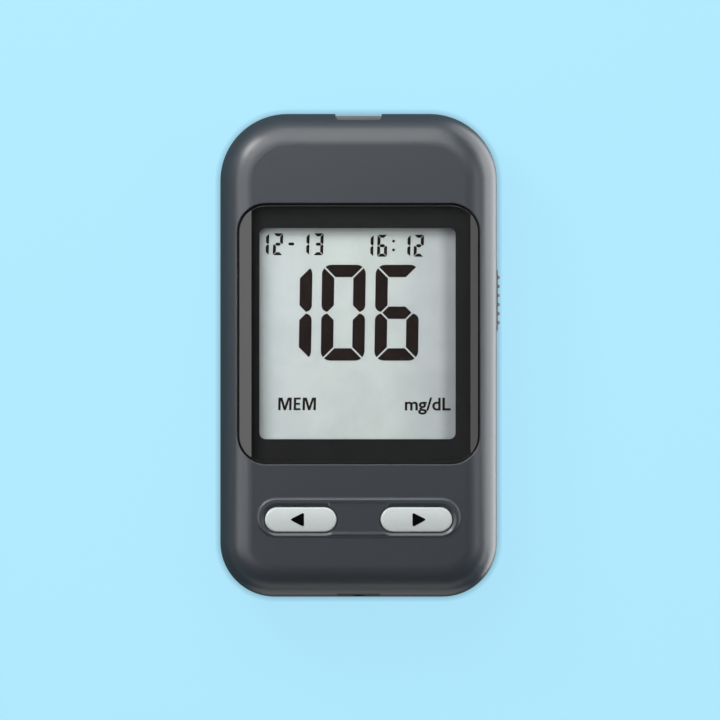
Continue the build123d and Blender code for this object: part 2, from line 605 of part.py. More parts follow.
# Rear cover: a shell with a lip, screw towers and the battery tray over the sliding door's bay
door_end_bay = block(
    both_ways(DOOR_WIDTH / 2 + DOOR_GAP),
    (BOTTOM_END - BEYOND, BOTTOM_END + LOWER_CORNER_RADIUS),
    (-BEYOND, DOOR_END_HEIGHT + DOOR_GAP),
) - case_form(DOOR_THICKNESS + DOOR_GAP, -2 * BEYOND, CASE_DEPTH)
lip_core = case_form(WALL, PARTING_HEIGHT - WALL / 2, PARTING_HEIGHT + LIP_HEIGHT)
with BuildPart() as rear_cover:
    add(envelope)
    split(bisect_by=Plane.XY.offset(PARTING_HEIGHT), keep=Keep.BOTTOM)
    chamfer(rear_cover.faces().sort_by(Axis.Z)[-1].outer_wire().edges(), PARTING_CHAMFER)
    add(cavity, mode=Mode.SUBTRACT)
    add(lip_band)
    add(lip_core, mode=Mode.SUBTRACT)
    add(block(both_ways(RIGHT_SIDE), (TRAY_BACK, TRAY_FRONT), (WALL, TRAY_TOP)))
    add(block(both_ways(RIGHT_SIDE), (BOTTOM_END, TRAY_BACK), (DOOR_BAY_HEIGHT, LOWER_SCREW_SEAT)))
    for (x, y), seat in zip(CASE_BOSSES, CASE_SCREW_SEATS):
        with Locations((x, y, seat)):
            Cylinder(CASE_TOWER_RADIUS, CASE_BOSS_MEETING_HEIGHT - seat, align=SEATED)
            Cylinder(CASE_TOWER_RADIUS, min(seat, LOWER_SCREW_SEAT - DOOR_BAY_HEIGHT), align=HUNG)
    add(envelope, mode=Mode.INTERSECT)
    # bay for the door: its plate, the space over it, the lanes of its hooks and its end wall
    bay_edge = DOOR_WIDTH / 2 + DOOR_GAP
    bay_span = (BOTTOM_END - BEYOND, DOOR_FRONT + DOOR_GAP)
    add(block(both_ways(bay_edge), bay_span, (-BEYOND, RAIL_BOTTOM)), mode=Mode.SUBTRACT)
    lane_span = (BOTTOM_END + DOOR_THICKNESS, DOOR_FRONT + DOOR_GAP)
    add(
        block(both_ways(HOOK_STEM_OUTER_X + DOOR_GAP), lane_span, (0, DOOR_BAY_HEIGHT)),
        mode=Mode.SUBTRACT,
    )
    for side in (-1, 1):
        lane = sorted((side * (HOOK_STEM_INNER_X - DOOR_GAP), side * bay_edge))
        add(block(lane, lane_span, (RAIL_TOP, HOOK_LIP_TOP + DOOR_GAP)), mode=Mode.SUBTRACT)
    add(door_end_bay, mode=Mode.SUBTRACT)
    # pockets for the cells, with slots for their contacts
    with BuildSketch(Plane.XY.offset(WALL)):
        with Locations(*CELL_PLACES):
            Circle(POCKET_RADIUS)
    extrude(amount=TRAY_ROOF_BOTTOM - WALL, mode=Mode.SUBTRACT)
    with BuildSketch(Plane.XY.offset(DOOR_BAY_HEIGHT)):
        with Locations([(x, POSITIVE_STRIP_Y) for x, _ in CELL_PLACES]):
            Rectangle(BATTERY_STRIP_WIDTH + 2 * FIT, BATTERY_STRIP_THICKNESS + 2 * FIT)
        with Locations([(x, NEGATIVE_TAB_Y) for x, _ in CELL_PLACES]):
            Rectangle(BATTERY_TAB_WIDTH + 2 * FIT, BATTERY_STRIP_THICKNESS + 2 * FIT)
    extrude(amount=TRAY_TOP - DOOR_BAY_HEIGHT, mode=Mode.SUBTRACT)
    # ports, ejector slot, screw holes, sound holes and the recess for the label
    for opening in (port_opening, end_notch, data_opening, knob_recess, stem_slot):
        add(opening, mode=Mode.SUBTRACT)
    for (x, y), seat in zip(CASE_BOSSES, CASE_SCREW_SEATS):
        with Locations((x, y, seat)):
            Cylinder(
                CASE_SCREW_HEAD_RADIUS + SCREW_HEAD_GAP, seat, align=HUNG, mode=Mode.SUBTRACT
            )
            Cylinder(
                CASE_SCREW_RADIUS + SCREW_HEAD_GAP,
                CASE_BOSS_MEETING_HEIGHT - seat,
                align=SEATED,
                mode=Mode.SUBTRACT,
            )
    with BuildSketch():
        with Locations(BUZZER_PLACE):
            Circle(SOUND_HOLE_RADIUS)
            with PolarLocations(SOUND_HOLE_CIRCLE, SOUND_HOLES):
                Circle(SOUND_HOLE_RADIUS)
    extrude(amount=WALL, mode=Mode.SUBTRACT)
    with BuildSketch():
        with Locations((0, LABEL_Y)):
            RectangleRounded(LABEL_WIDTH, LABEL_LENGTH, LABEL_CORNER_RADIUS)
    extrude(amount=LABEL_RECESS, mode=Mode.SUBTRACT)
save(rear_cover.part, "rear_cover")

with BuildPart() as rear_label:
    with BuildSketch(Plane.XY.offset(LABEL_RECESS - LABEL_THICKNESS)):
        with Locations((0, LABEL_Y)):
            RectangleRounded(
                LABEL_WIDTH - 2 * FIT, LABEL_LENGTH - 2 * FIT, LABEL_CORNER_RADIUS - FIT
            )
    extrude(amount=LABEL_THICKNESS)
save(rear_label.part, "rear_label")


# Battery door: a plate that slides off over the lower end, with an end wall, hooks and tongues
door_end_wall = block(
    both_ways(DOOR_WIDTH / 2),
    (BOTTOM_END, BOTTOM_END + LOWER_CORNER_RADIUS),
    (DOOR_INSET, DOOR_END_HEIGHT),
) - case_form(DOOR_THICKNESS, -BEYOND, CASE_DEPTH)
with BuildPart() as battery_door:
    add(door_end_wall)
    add(block(both_ways(DOOR_WIDTH / 2), (BOTTOM_END, DOOR_FRONT), (DOOR_INSET, DOOR_TOP)))
    add(envelope, mode=Mode.INTERSECT)
    with Locations(*[(x, CELL_Y, DOOR_TOP) for x, _ in CELL_PLACES]):
        Box(DOOR_RIB_WIDTH, CELL_RADIUS, DOOR_RIB_HEIGHT, align=SEATED)
    for side in (-1, 1):
        tongue_x = side * DOOR_TONGUE_SPACING / 2
        tongue_bottom = WALL + DOOR_GAP + FIT
        with Locations((tongue_x, DOOR_FRONT - DOOR_TONGUE_REACH / 2, DOOR_TOP)):
            Box(
                DOOR_TONGUE_WIDTH,
                DOOR_TONGUE_REACH,
                tongue_bottom - DOOR_TOP + DOOR_TONGUE_THICKNESS,
                align=SEATED,
            )
        with Locations((tongue_x, DOOR_FRONT, tongue_bottom)):
            Box(DOOR_TONGUE_WIDTH, 2 * DOOR_TONGUE_REACH, DOOR_TONGUE_THICKNESS, align=SEATED)
        for y in (TRAY_FRONT - HOOK_LENGTH, TRAY_BACK + HOOK_LENGTH):
            stem = sorted((side * HOOK_STEM_INNER_X, side * HOOK_STEM_OUTER_X))
            lip = sorted((side * HOOK_STEM_INNER_X, side * HOOK_LIP_EDGE))
            hook_span = (y - HOOK_LENGTH / 2, y + HOOK_LENGTH / 2)
            add(block(stem, hook_span, (DOOR_TOP, HOOK_LIP_TOP)))
            add(block(lip, hook_span, (HOOK_LIP_BOTTOM, HOOK_LIP_TOP)))
    with Locations((0, GRIP_Y, DOOR_INSET)):
        with GridLocations(0, GRIP_GROOVE_PITCH, 1, GRIP_GROOVES):
            Cylinder(
                GRIP_GROOVE_RADIUS,
                GRIP_GROOVE_LENGTH,
                rotation=(0, 90, 0),
                mode=Mode.SUBTRACT,
            )
    # arrow that shows which way the door slides
    with BuildSketch(Plane.XY.offset(DOOR_INSET)):
        with Locations((0, GRIP_Y + DOOR_ARROW_FROM_GRIP)):
            RegularPolygon(DOOR_ARROW_RADIUS, 3, rotation=-90)
    extrude(amount=DOOR_ARROW_DEPTH, mode=Mode.SUBTRACT)
save(battery_door.part, "battery_door")


# Coin cells, with the wide positive can towards the door
for name, (x, y) in zip(("left_coin_cell", "right_coin_cell"), CELL_PLACES):
    with BuildPart() as coin_cell:
        with BuildSketch(Plane.XY.offset(CELL_BOTTOM)):
            with Locations((x, y)):
                Circle(CELL_RADIUS)
        extrude(amount=CELL_THICKNESS - CELL_CAN_STEP)
        with BuildSketch(Plane.XY.offset(CELL_TOP - CELL_CAN_STEP)):
            with Locations((x, y)):
                Circle(CELL_RADIUS - 2 * CELL_CAN_STEP)
        extrude(amount=CELL_CAN_STEP)
    save(coin_cell.part, name)

# Negative contacts: a leaf under the tray's roof with a dimple on the cell and a tab up to the board
with BuildPart() as battery_negative_contacts:
    for x, y in CELL_PLACES:
        with Locations((x, y, TRAY_ROOF_BOTTOM)):
            Box(
                BATTERY_STRIP_WIDTH, BATTERY_STRIP_LENGTH, BATTERY_STRIP_THICKNESS, align=HUNG
            )
            Cylinder(BATTERY_TAB_WIDTH, CONTACT_SPACE, align=HUNG)
        with Locations((x, NEGATIVE_TAB_Y, TRAY_ROOF_BOTTOM - BATTERY_STRIP_THICKNESS)):
            Box(
                BATTERY_TAB_WIDTH,
                BATTERY_STRIP_THICKNESS,
                BOARD_HEIGHT - TRAY_ROOF_BOTTOM + BATTERY_STRIP_THICKNESS,
                align=SEATED,
            )
save(battery_negative_contacts.part, "battery_negative_contacts")

# Positive contacts: an upright strip beside each cell's can, up to the board
with BuildPart() as battery_positive_contacts:
    for x, _ in CELL_PLACES:
        with Locations((x, POSITIVE_STRIP_Y, DOOR_BAY_HEIGHT)):
            Box(
                BATTERY_STRIP_WIDTH,
                BATTERY_STRIP_THICKNESS,
                BOARD_HEIGHT - DOOR_BAY_HEIGHT,
                align=SEATED,
            )
save(battery_positive_contacts.part, "battery_positive_contacts")


# Lens with a flat middle and a facet down each side, sloping with the case's rounded edge
with BuildPart() as display_lens:
    with BuildSketch(Plane.XY.offset(LENS_UNDERSIDE)):
        lens_outline()
    extrude(amount=LENS_THICKNESS)
    fillet(display_lens.faces().sort_by(Axis.Z)[-1].edges(), LENS_EDGE_ROUND)
    with BuildSketch(Plane.XZ.offset(-TOP_END)):
        for side, facet in ((-1, LENS_LEFT_FACET), (1, LENS_RIGHT_FACET)):
            flat_edge = side * (LENS_WIDTH / 2 - facet)
            side_edge = side * LENS_WIDTH / 2
            outside = side * (LENS_WIDTH / 2 + BEYOND)
            with BuildLine():
                Polyline(
                    (flat_edge, CASE_DEPTH),
                    (side_edge, CASE_DEPTH - LENS_SIDE_DROP),
                    (outside, CASE_DEPTH - LENS_SIDE_DROP),
                    (outside, CASE_DEPTH + BEYOND),
                    (flat_edge, CASE_DEPTH + BEYOND),
                    close=True,
                )
            make_face()
    extrude(amount=CASE_LENGTH, mode=Mode.SUBTRACT)
save(display_lens.part, "display_lens")

with BuildPart() as lens_gasket:
    with BuildSketch(Plane.XY.offset(GASKET_SEAT)):
        lens_outline()
        with Locations((WINDOW_X, WINDOW_Y)):
            RectangleRounded(
                WINDOW_WIDTH, WINDOW_LENGTH, WINDOW_CORNER_RADIUS, mode=Mode.SUBTRACT
            )
    extrude(amount=GASKET_THICKNESS)
save(lens_gasket.part, "lens_gasket")


# Display cell: two polarizers, two glasses, the frame that holds them and two zebra strips
def pane(width, length, bottom, thickness):
    """Flat sheet centred behind the window."""
    with BuildPart(mode=Mode.PRIVATE) as sheet:
        with BuildSketch(Plane.XY.offset(bottom)):
            with Locations((WINDOW_X, WINDOW_Y)):
                Rectangle(width, length)
        extrude(amount=thickness)
    return sheet.part


save(
    pane(GLASS_WIDTH, REAR_GLASS_LENGTH, FRONT_GLASS_TOP, POLARIZER_THICKNESS),
    "lcd_front_polarizer",
)
save(
    pane(GLASS_WIDTH, FRONT_GLASS_LENGTH, FRONT_GLASS_BOTTOM, GLASS_THICKNESS),
    "lcd_front_glass",
)
save(pane(GLASS_WIDTH, REAR_GLASS_LENGTH, REAR_GLASS_BOTTOM, GLASS_THICKNESS), "lcd_rear_glass")
save(
    pane(GLASS_WIDTH, REAR_GLASS_LENGTH, REFLECTOR_BOTTOM, POLARIZER_THICKNESS), "lcd_reflector"
)

ZEBRA_PLACES = {
    "zebra_strip_upper": (WINDOW_X, WINDOW_Y + ZEBRA_OFFSET),
    "zebra_strip_lower": (WINDOW_X, WINDOW_Y - ZEBRA_OFFSET),
}
with BuildPart() as lcd_frame:
    add(pane(LCD_FRAME_WIDTH, LCD_FRAME_LENGTH, BOARD_TOP, LCD_FRAME_TOP - BOARD_TOP))
    for length, bottom in (
        (FRONT_GLASS_LENGTH, FRONT_GLASS_BOTTOM),
        (REAR_GLASS_LENGTH, REFLECTOR_BOTTOM),
    ):
        add(
            pane(GLASS_WIDTH + 2 * FIT, length + 2 * FIT, bottom, LCD_FRAME_TOP - bottom),
            mode=Mode.SUBTRACT,
        )
    add(
        pane(
            GLASS_WIDTH,
            REAR_GLASS_LENGTH - LCD_FRAME_WALL,
            BOARD_TOP,
            REFLECTOR_BOTTOM - LCD_FLOOR_THICKNESS - BOARD_TOP,
        ),
        mode=Mode.SUBTRACT,
    )
    with BuildSketch(Plane.XY.offset(BOARD_TOP)):
        with Locations(*ZEBRA_PLACES.values()):
            Rectangle(ZEBRA_LENGTH + 2 * FIT, ZEBRA_THICKNESS + 2 * FIT)
    extrude(amount=FRONT_GLASS_BOTTOM - BOARD_TOP, mode=Mode.SUBTRACT)
    with Locations([(x, y, BOARD_TOP) for x, y in LCD_PEGS]):
        Cylinder(LCD_PEG_RADIUS, BOARD_THICKNESS, align=HUNG)
save(lcd_frame.part, "lcd_frame")

for name, (x, y) in ZEBRA_PLACES.items():
    with BuildPart() as zebra_strip:
        with Locations((x, y, BOARD_TOP)):
            Box(ZEBRA_LENGTH, ZEBRA_THICKNESS, FRONT_GLASS_BOTTOM - BOARD_TOP, align=SEATED)
    save(zebra_strip.part, name)


# Main board, with holes for bosses, screws and pegs and a notch behind each port
with BuildPart() as main_board:
    add(case_form(WALL + BOARD_EDGE_GAP, BOARD_HEIGHT, BOARD_TOP))
    with BuildSketch(Plane.XY.offset(BOARD_HEIGHT)):
        with Locations(CASE_BOSSES):
            Circle(CASE_BOSS_RADIUS + RUNNING_GAP)
        with Locations(BOARD_POSTS):
            Circle(BOARD_SCREW_RADIUS + SCREW_HEAD_GAP)
        with Locations(LCD_PEGS):
            Circle(LCD_PEG_RADIUS + PIN_GAP)
        with Locations((0, PORT_INNER_FACE - CONNECTOR_GAP / 2)):
            Rectangle(
                PORT_FLANGE_WIDTH + 2 * RUNNING_GAP, BEYOND, align=(Align.CENTER, Align.MIN)
            )
        with Locations((0, DATA_FLANGE_BACK + FIT)):
            Rectangle(
                DATA_BEZEL_WIDTH + 2 * RUNNING_GAP, BEYOND, align=(Align.CENTER, Align.MAX)
            )
    extrude(amount=BOARD_THICKNESS, mode=Mode.SUBTRACT)
save(main_board.part, "main_board")


# Buttons: a cap with a flange behind the cover and a stem down to its switch
for name, side in (("left", -1), ("right", 1)):
    button_x = side * BUTTON_SPACING / 2
    flange_top = CEILING - RUNNING_GAP
    with BuildPart() as button:
        with BuildSketch(Plane.XY.offset(flange_top)):
            button_outlines(0, (side,))
        extrude(amount=BUTTON_TOP - flange_top)
        with BuildSketch(Plane.YZ.offset(button_x - BUTTON_LENGTH / 2)):
            with BuildLine():
                crown = ThreePointArc(
                    (BUTTON_Y - BUTTON_WIDTH / 2, BUTTON_TOP - BUTTON_CROWN),
                    (BUTTON_Y, BUTTON_TOP),
                    (BUTTON_Y + BUTTON_WIDTH / 2, BUTTON_TOP - BUTTON_CROWN),
                )
                Polyline(
                    crown @ 1,
                    (BUTTON_Y + BUTTON_WIDTH / 2, flange_top),
                    (BUTTON_Y - BUTTON_WIDTH / 2, flange_top),
                    crown @ 0,
                )
            make_face()
        extrude(amount=BUTTON_LENGTH, mode=Mode.INTERSECT)
        fillet(button.faces().sort_by(Axis.Z)[-1].edges(), BUTTON_EDGE_ROUND)
        with BuildSketch(Plane.XY.offset(flange_top - BUTTON_FLANGE_THICKNESS)):
            button_outlines(BUTTON_FLANGE_MARGIN, (side,))
        extrude(amount=BUTTON_FLANGE_THICKNESS)
        with BuildSketch(Plane.XY.offset(PLUNGER_TOP)):
            with Locations((button_x, BUTTON_Y)):
                Circle(BUTTON_STEM_RADIUS)
        extrude(amount=flange_top - PLUNGER_TOP)
    save(button.part, f"{name}_button")

    with BuildPart() as switch_plunger:
        with Locations((button_x, BUTTON_Y, PLUNGER_TOP)):
            Cylinder(PLUNGER_RADIUS, PLUNGER_LENGTH, align=HUNG)
    save(switch_plunger.part, f"{name}_switch_plunger")

    with BuildPart() as switch_base:
        with Locations((button_x, BUTTON_Y, BOARD_TOP)):
            Box(SWITCH_SIZE, SWITCH_SIZE, SWITCH_HEIGHT, align=SEATED)
            with GridLocations(SWITCH_SIZE + SWITCH_LEG_LENGTH, SWITCH_SIZE / 2, 2, 2):
                Box(SWITCH_LEG_LENGTH, SWITCH_LEG_WIDTH, SWITCH_LEG_THICKNESS, align=SEATED)
        with Locations((button_x, BUTTON_Y, SWITCH_TOP)):
            Cylinder(
                PLUNGER_RADIUS + PLUNGER_GAP,
                PLUNGER_LENGTH - PLUNGER_PROUD + BUTTON_TRAVEL + PLUNGER_GAP,
                align=HUNG,
                mode=Mode.SUBTRACT,
            )
    save(switch_base.part, f"{name}_switch_base")


# Strip port: a bezel flush with the upper end, with a flange behind the cover and a flared slot
with BuildPart() as strip_port_bezel:
    bezel_bottom = PARTING_HEIGHT + FIT
    add(
        block(both_ways(PORT_WIDTH / 2), (PORT_INNER_FACE, PORT_FACE), (bezel_bottom, PORT_TOP)),
    )
    fillet(
        strip_port_bezel.edges().filter_by(Axis.X).group_by(Axis.Z)[-1].sort_by(Axis.Y)[-1:],
        PORT_EDGE_ROUND,
    )
    add(
        block(
            both_ways(PORT_FLANGE_WIDTH / 2),
            (PORT_INNER_FACE, PORT_INNER_FACE + PORT_FLANGE_THICKNESS),
            (bezel_bottom, bezel_bottom + PORT_FLANGE_HEIGHT),
        )
    )
    with BuildSketch(Plane.XZ.offset(-PORT_INNER_FACE)):
        with Locations((0, STRIP_SLOT_MIDDLE)):
            Rectangle(STRIP_SLOT_WIDTH + 2 * FIT, STRIP_SLOT_HEIGHT + 2 * FIT)
    extrude(amount=-(PORT_FACE - PORT_INNER_FACE), mode=Mode.SUBTRACT)
    mouth = strip_port_bezel.faces().sort_by(Axis.Y)[-1].inner_wires()[0]
    chamfer(mouth.edges(), PORT_MOUTH_FLARE)
save(strip_port_bezel.part, "strip_port_bezel")

CONTACT_PLACES = sorted(side * offset for offset in CONTACT_OFFSETS for side in (-1, 1))
CONNECTOR_TOP = BOARD_TOP + CONNECTOR_HEIGHT
with BuildPart() as strip_connector_housing:
    add(
        block(
            both_ways(CONNECTOR_WIDTH / 2),
            (CONNECTOR_BACK, CONNECTOR_FRONT),
            (BOARD_TOP, CONNECTOR_TOP),
        )
    )
    with BuildSketch(Plane.XZ.offset(-CONNECTOR_BACK)):
        with Locations((0, STRIP_SLOT_MIDDLE)):
            Rectangle(STRIP_SLOT_WIDTH, STRIP_SLOT_HEIGHT)
    extrude(amount=-CONNECTOR_LENGTH, mode=Mode.SUBTRACT)
    for x in CONTACT_PLACES:
        add(
            block(
                (x - CONTACT_WIDTH / 2 - FIT, x + CONTACT_WIDTH / 2 + FIT),
                (CONNECTOR_BACK + CONTACT_ARCH_BACK, CONNECTOR_FRONT - CONTACT_ARCH_FRONT),
                (STRIP_SLOT_MIDDLE, CONNECTOR_TOP),
            ),
            mode=Mode.SUBTRACT,
        )
save(strip_connector_housing.part, "strip_connector_housing")

# Strip contacts: spring leaves from the board, over the housing's back and down into the slot
with BuildPart() as strip_contacts:
    leg_y = CONNECTOR_BACK - CONTACT_THICKNESS / 2
    over_z = CONNECTOR_TOP + CONTACT_THICKNESS / 2
    tip_y = CONNECTOR_FRONT - CONTACT_ARCH_FRONT
    for x in CONTACT_PLACES:
        with BuildSketch(Plane.YZ.offset(x - CONTACT_WIDTH / 2)):
            with BuildLine():
                Polyline(
                    (leg_y, BOARD_TOP),
                    (leg_y, over_z),
                    (CONNECTOR_BACK + CONTACT_ARCH_BACK + CONTACT_THICKNESS, over_z),
                    (tip_y - CONTACT_TIP_REACH, STRIP_SLOT_MIDDLE + CONTACT_THICKNESS),
                    (tip_y - CONTACT_THICKNESS, STRIP_SLOT_BOTTOM + STRIP_SLOT_HEIGHT),
                )
            trace(line_width=CONTACT_THICKNESS)
        extrude(amount=CONTACT_WIDTH)
save(strip_contacts.part, "strip_contacts")


# Ejector: a knob on the right side, a carriage inside with a finger behind the strip, and a spring
with BuildPart() as ejector_carriage:
    with BuildSketch(Plane.XY.offset(EJECTOR_BOTTOM)) as carriage_plan:
        with BuildLine():
            Polyline(
                (ARM_OUTER_X, ARM_BACK_END),
                (ARM_OUTER_X, CROSS_ARM_FRONT),
                (-EJECTOR_FINGER_WIDTH / 2, CROSS_ARM_FRONT),
                (-EJECTOR_FINGER_WIDTH / 2, CROSS_ARM_BACK),
                (ARM_INNER_X, CROSS_ARM_BACK),
                (ARM_INNER_X, ARM_BACK_END),
                close=True,
            )
        make_face()
    extrude(amount=EJECTOR_ARM_THICKNESS)
    fillet(ejector_carriage.edges().filter_by(Axis.Z), EJECTOR_CORNER_RADIUS)
    add(
        block(
            both_ways(EJECTOR_FINGER_WIDTH / 2),
            (CROSS_ARM_BACK + EJECTOR_CROSS_WIDTH / 2, CONNECTOR_BACK - RUNNING_GAP),
            (
                STRIP_SLOT_MIDDLE - EJECTOR_FINGER_THICKNESS / 2,
                STRIP_SLOT_MIDDLE + EJECTOR_FINGER_THICKNESS / 2,
            ),
        )
    )
    with BuildSketch(Plane.XZ.offset(-CROSS_ARM_FRONT)):
        with Locations((SPRING_X, SPRING_Z)):
            Circle(SPRING_PIN_RADIUS)
    extrude(amount=-SPRING_PIN_LENGTH)
    with BuildSketch(Plane.YZ.offset(ARM_OUTER_X - KNOB_PEG_LENGTH)):
        with Locations((KNOB_Y, KNOB_PEG_Z)):
            Circle(KNOB_PEG_RADIUS + PIN_GAP)
    extrude(amount=KNOB_PEG_LENGTH, mode=Mode.SUBTRACT)
save(ejector_carriage.part, "ejector_carriage")

with BuildPart() as ejector_knob:
    with BuildSketch(Plane.YZ.offset(KNOB_INNER_X)):
        with Locations((KNOB_Y, KNOB_MIDDLE_Z)):
            RectangleRounded(KNOB_LENGTH, KNOB_WIDTH, KNOB_CORNER_RADIUS)
    extrude(amount=KNOB_THICKNESS)
    with BuildSketch(Plane.XY.offset(KNOB_MIDDLE_Z - KNOB_RIDGE_LENGTH / 2)):
        with Locations((KNOB_OUTER_X, KNOB_Y)):
            with GridLocations(0, KNOB_RIDGE_PITCH, 1, KNOB_RIDGES):
                Trapezoid(
                    KNOB_RIDGE_WIDTH,
                    KNOB_RIDGE_HEIGHT,
                    KNOB_RIDGE_ANGLE,
                    rotation=-90,
                    align=(Align.CENTER, Align.MIN),
                )
    extrude(amount=KNOB_RIDGE_LENGTH)
    add(
        block(
            (ARM_OUTER_X, KNOB_INNER_X),
            (KNOB_Y - KNOB_STEM_LENGTH / 2, KNOB_Y + KNOB_STEM_LENGTH / 2),
            (KNOB_MIDDLE_Z, KNOB_STEM_TOP),
        )
    )
    with BuildSketch(Plane.YZ.offset(ARM_OUTER_X - KNOB_PEG_LENGTH)):
        with Locations((KNOB_Y, KNOB_PEG_Z)):
            Circle(KNOB_PEG_RADIUS)
    extrude(amount=KNOB_PEG_LENGTH)
save(ejector_knob.part, "ejector_knob")

# Return spring between the carriage and the stop in the front cover
SPRING_START = CROSS_ARM_FRONT + SPRING_WIRE_RADIUS
SPRING_LENGTH = SPRING_STOP_Y - SPRING_WIRE_RADIUS - SPRING_START
with BuildPart() as ejector_spring:
    with BuildLine() as coil:
        Helix(
            SPRING_LENGTH / SPRING_TURNS,
            SPRING_LENGTH,
            SPRING_RADIUS,
            center=(SPRING_X, SPRING_START, SPRING_Z),
            direction=(0, 1, 0),
        )
    with BuildSketch(Plane(origin=coil.line @ 0, z_dir=coil.line % 0)):
        Circle(SPRING_WIRE_RADIUS)
    sweep(path=coil.line)
save(ejector_spring.part, "ejector_spring")


# Data jack at the lower end: a bezel that fills the cover's opening, the jack and its terminals
data_bezel_plug = block(
    both_ways(DATA_BEZEL_WIDTH / 2),
    (BOTTOM_END, DATA_FLANGE_BACK),
    (PARTING_HEIGHT + FIT, DATA_BEZEL_TOP),
)
with BuildPart() as data_port_bezel:
    add(envelope)
    add(data_bezel_plug, mode=Mode.INTERSECT)
    add(
        block(
            both_ways(DATA_BEZEL_WIDTH / 2 + DATA_FLANGE_MARGIN),
            (DATA_FLANGE_BACK - DATA_FLANGE_THICKNESS, DATA_FLANGE_BACK),
            (BOARD_TOP + FIT, DATA_BEZEL_TOP - DATA_FLANGE_THICKNESS),
        )
    )
    with BuildSketch(Plane.XZ.offset(-BOTTOM_END)):
        with Locations((0, DATA_HOLE_Z)):
            Circle(DATA_BEZEL_HOLE_RADIUS)
    extrude(amount=-DATA_FLANGE_FROM_END, mode=Mode.SUBTRACT)
save(data_port_bezel.part, "data_port_bezel")

with BuildPart() as data_jack_housing:
    add(
        block(
            both_ways(JACK_WIDTH / 2),
            (JACK_FRONT, JACK_FRONT + JACK_LENGTH),
            (BOARD_TOP, BOARD_TOP + JACK_HEIGHT),
        )
    )
    with BuildSketch(Plane.XZ.offset(-JACK_FRONT)):
        with Locations((0, DATA_HOLE_Z)):
            Circle(JACK_BORE_RADIUS)
    extrude(amount=-JACK_BORE_LENGTH, mode=Mode.SUBTRACT)
save(data_jack_housing.part, "data_jack_housing")

with BuildPart() as data_jack_terminals:
    for side in (-1, 1):
        with Locations((side * (JACK_WIDTH / 2), JACK_FRONT + JACK_LENGTH / 2, BOARD_TOP)):
            Box(
                JACK_TERMINAL_THICKNESS,
                JACK_TERMINAL_WIDTH,
                JACK_TERMINAL_HEIGHT,
                align=(Align.MIN if side > 0 else Align.MAX, Align.CENTER, Align.MIN),
            )
    with Locations((0, JACK_FRONT + JACK_LENGTH, BOARD_TOP)):
        Box(
            JACK_TERMINAL_WIDTH,
            JACK_TERMINAL_THICKNESS,
            JACK_TERMINAL_HEIGHT,
            align=(Align.CENTER, Align.MIN, Align.MIN),
        )
save(data_jack_terminals.part, "data_jack_terminals")


# Screws, with cross recesses: four for the case and four for the board
def screws(places, shank_radius, shank_length, head_radius, head_height):
    """Screws with their heads down, each seated at its own height and driven upwards."""
    with BuildPart(mode=Mode.PRIVATE) as group:
        with Locations(places):
            Cylinder(shank_radius, shank_length, align=SEATED)
            Cylinder(head_radius, head_height, align=HUNG)
        with Locations([(x, y, z - head_height) for x, y, z in places]):
            for size in (
                (SCREW_RECESS_SIZE, SCREW_RECESS_WIDTH),
                (SCREW_RECESS_WIDTH, SCREW_RECESS_SIZE),
            ):
                Box(*size, SCREW_RECESS_DEPTH, align=SEATED, mode=Mode.SUBTRACT)
    return group.part


save(
    screws(
        [(x, y, seat) for (x, y), seat in zip(CASE_BOSSES, CASE_SCREW_SEATS)],
        CASE_SCREW_RADIUS,
        CASE_SCREW_LENGTH,
        CASE_SCREW_HEAD_RADIUS,
        CASE_SCREW_HEAD_HEIGHT,
    ),
    "case_screws",
)
save(
    screws(
        [(x, y, BOARD_HEIGHT) for x, y in BOARD_POSTS],
        BOARD_SCREW_RADIUS,
        BOARD_SCREW_LENGTH,
        BOARD_SCREW_HEAD_RADIUS,
        BOARD_SCREW_HEAD_HEIGHT,
    ),
    "board_screws",
)


# Electronics on the board
def legged_chip(place, length, width, height, legs, pitch, four_sided=False):
    """Chip body on gull-wing legs along its long sides, or along all four."""
    with BuildPart(mode=Mode.PRIVATE) as chip:
        with Locations((*place, BOARD_TOP + CHIP_STANDOFF)):
            Box(length, width, height, align=SEATED)
        with Locations((*place, BOARD_TOP)):
            with GridLocations(pitch, width + LEG_REACH, legs, 2):
                Box(LEG_WIDTH, LEG_REACH, CHIP_STANDOFF + LEG_THICKNESS, align=SEATED)
            if four_sided:
                with GridLocations(length + LEG_REACH, pitch, 2, legs):
                    Box(LEG_REACH, LEG_WIDTH, CHIP_STANDOFF + LEG_THICKNESS, align=SEATED)
    return chip.part


save(
    legged_chip(
        (WINDOW_X, WINDOW_Y),
        CONTROLLER_SIZE,
        CONTROLLER_SIZE,
        CONTROLLER_HEIGHT,
        CONTROLLER_LEGS,
        CONTROLLER_LEG_PITCH,
        four_sided=True,
    ),
    "controller_chip",
)
save(
    legged_chip(
        ANALOG_PLACE, ANALOG_LENGTH, ANALOG_WIDTH, SMALL_CHIP_HEIGHT, ANALOG_LEGS, SMALL_LEG_PITCH
    ),
    "analog_chip",
)
save(
    legged_chip(
        (WINDOW_X - CONTROLLER_SIZE - MEMORY_LENGTH / 2, WINDOW_Y + CONTROLLER_SIZE),
        MEMORY_LENGTH,
        ANALOG_WIDTH,
        SMALL_CHIP_HEIGHT,
        MEMORY_LEGS,
        SMALL_LEG_PITCH,
    ),
    "memory_chip",
)

with BuildPart() as crystal_can:
    with BuildSketch(
        Plane.YZ.offset(WINDOW_X + CONTROLLER_SIZE / 2 + LEG_REACH + CRYSTAL_RADIUS)
    ):
        with Locations((WINDOW_Y + CONTROLLER_SIZE, BOARD_TOP + CRYSTAL_RADIUS)):
            Circle(CRYSTAL_RADIUS)
    extrude(amount=CRYSTAL_LENGTH)
save(crystal_can.part, "crystal_can")

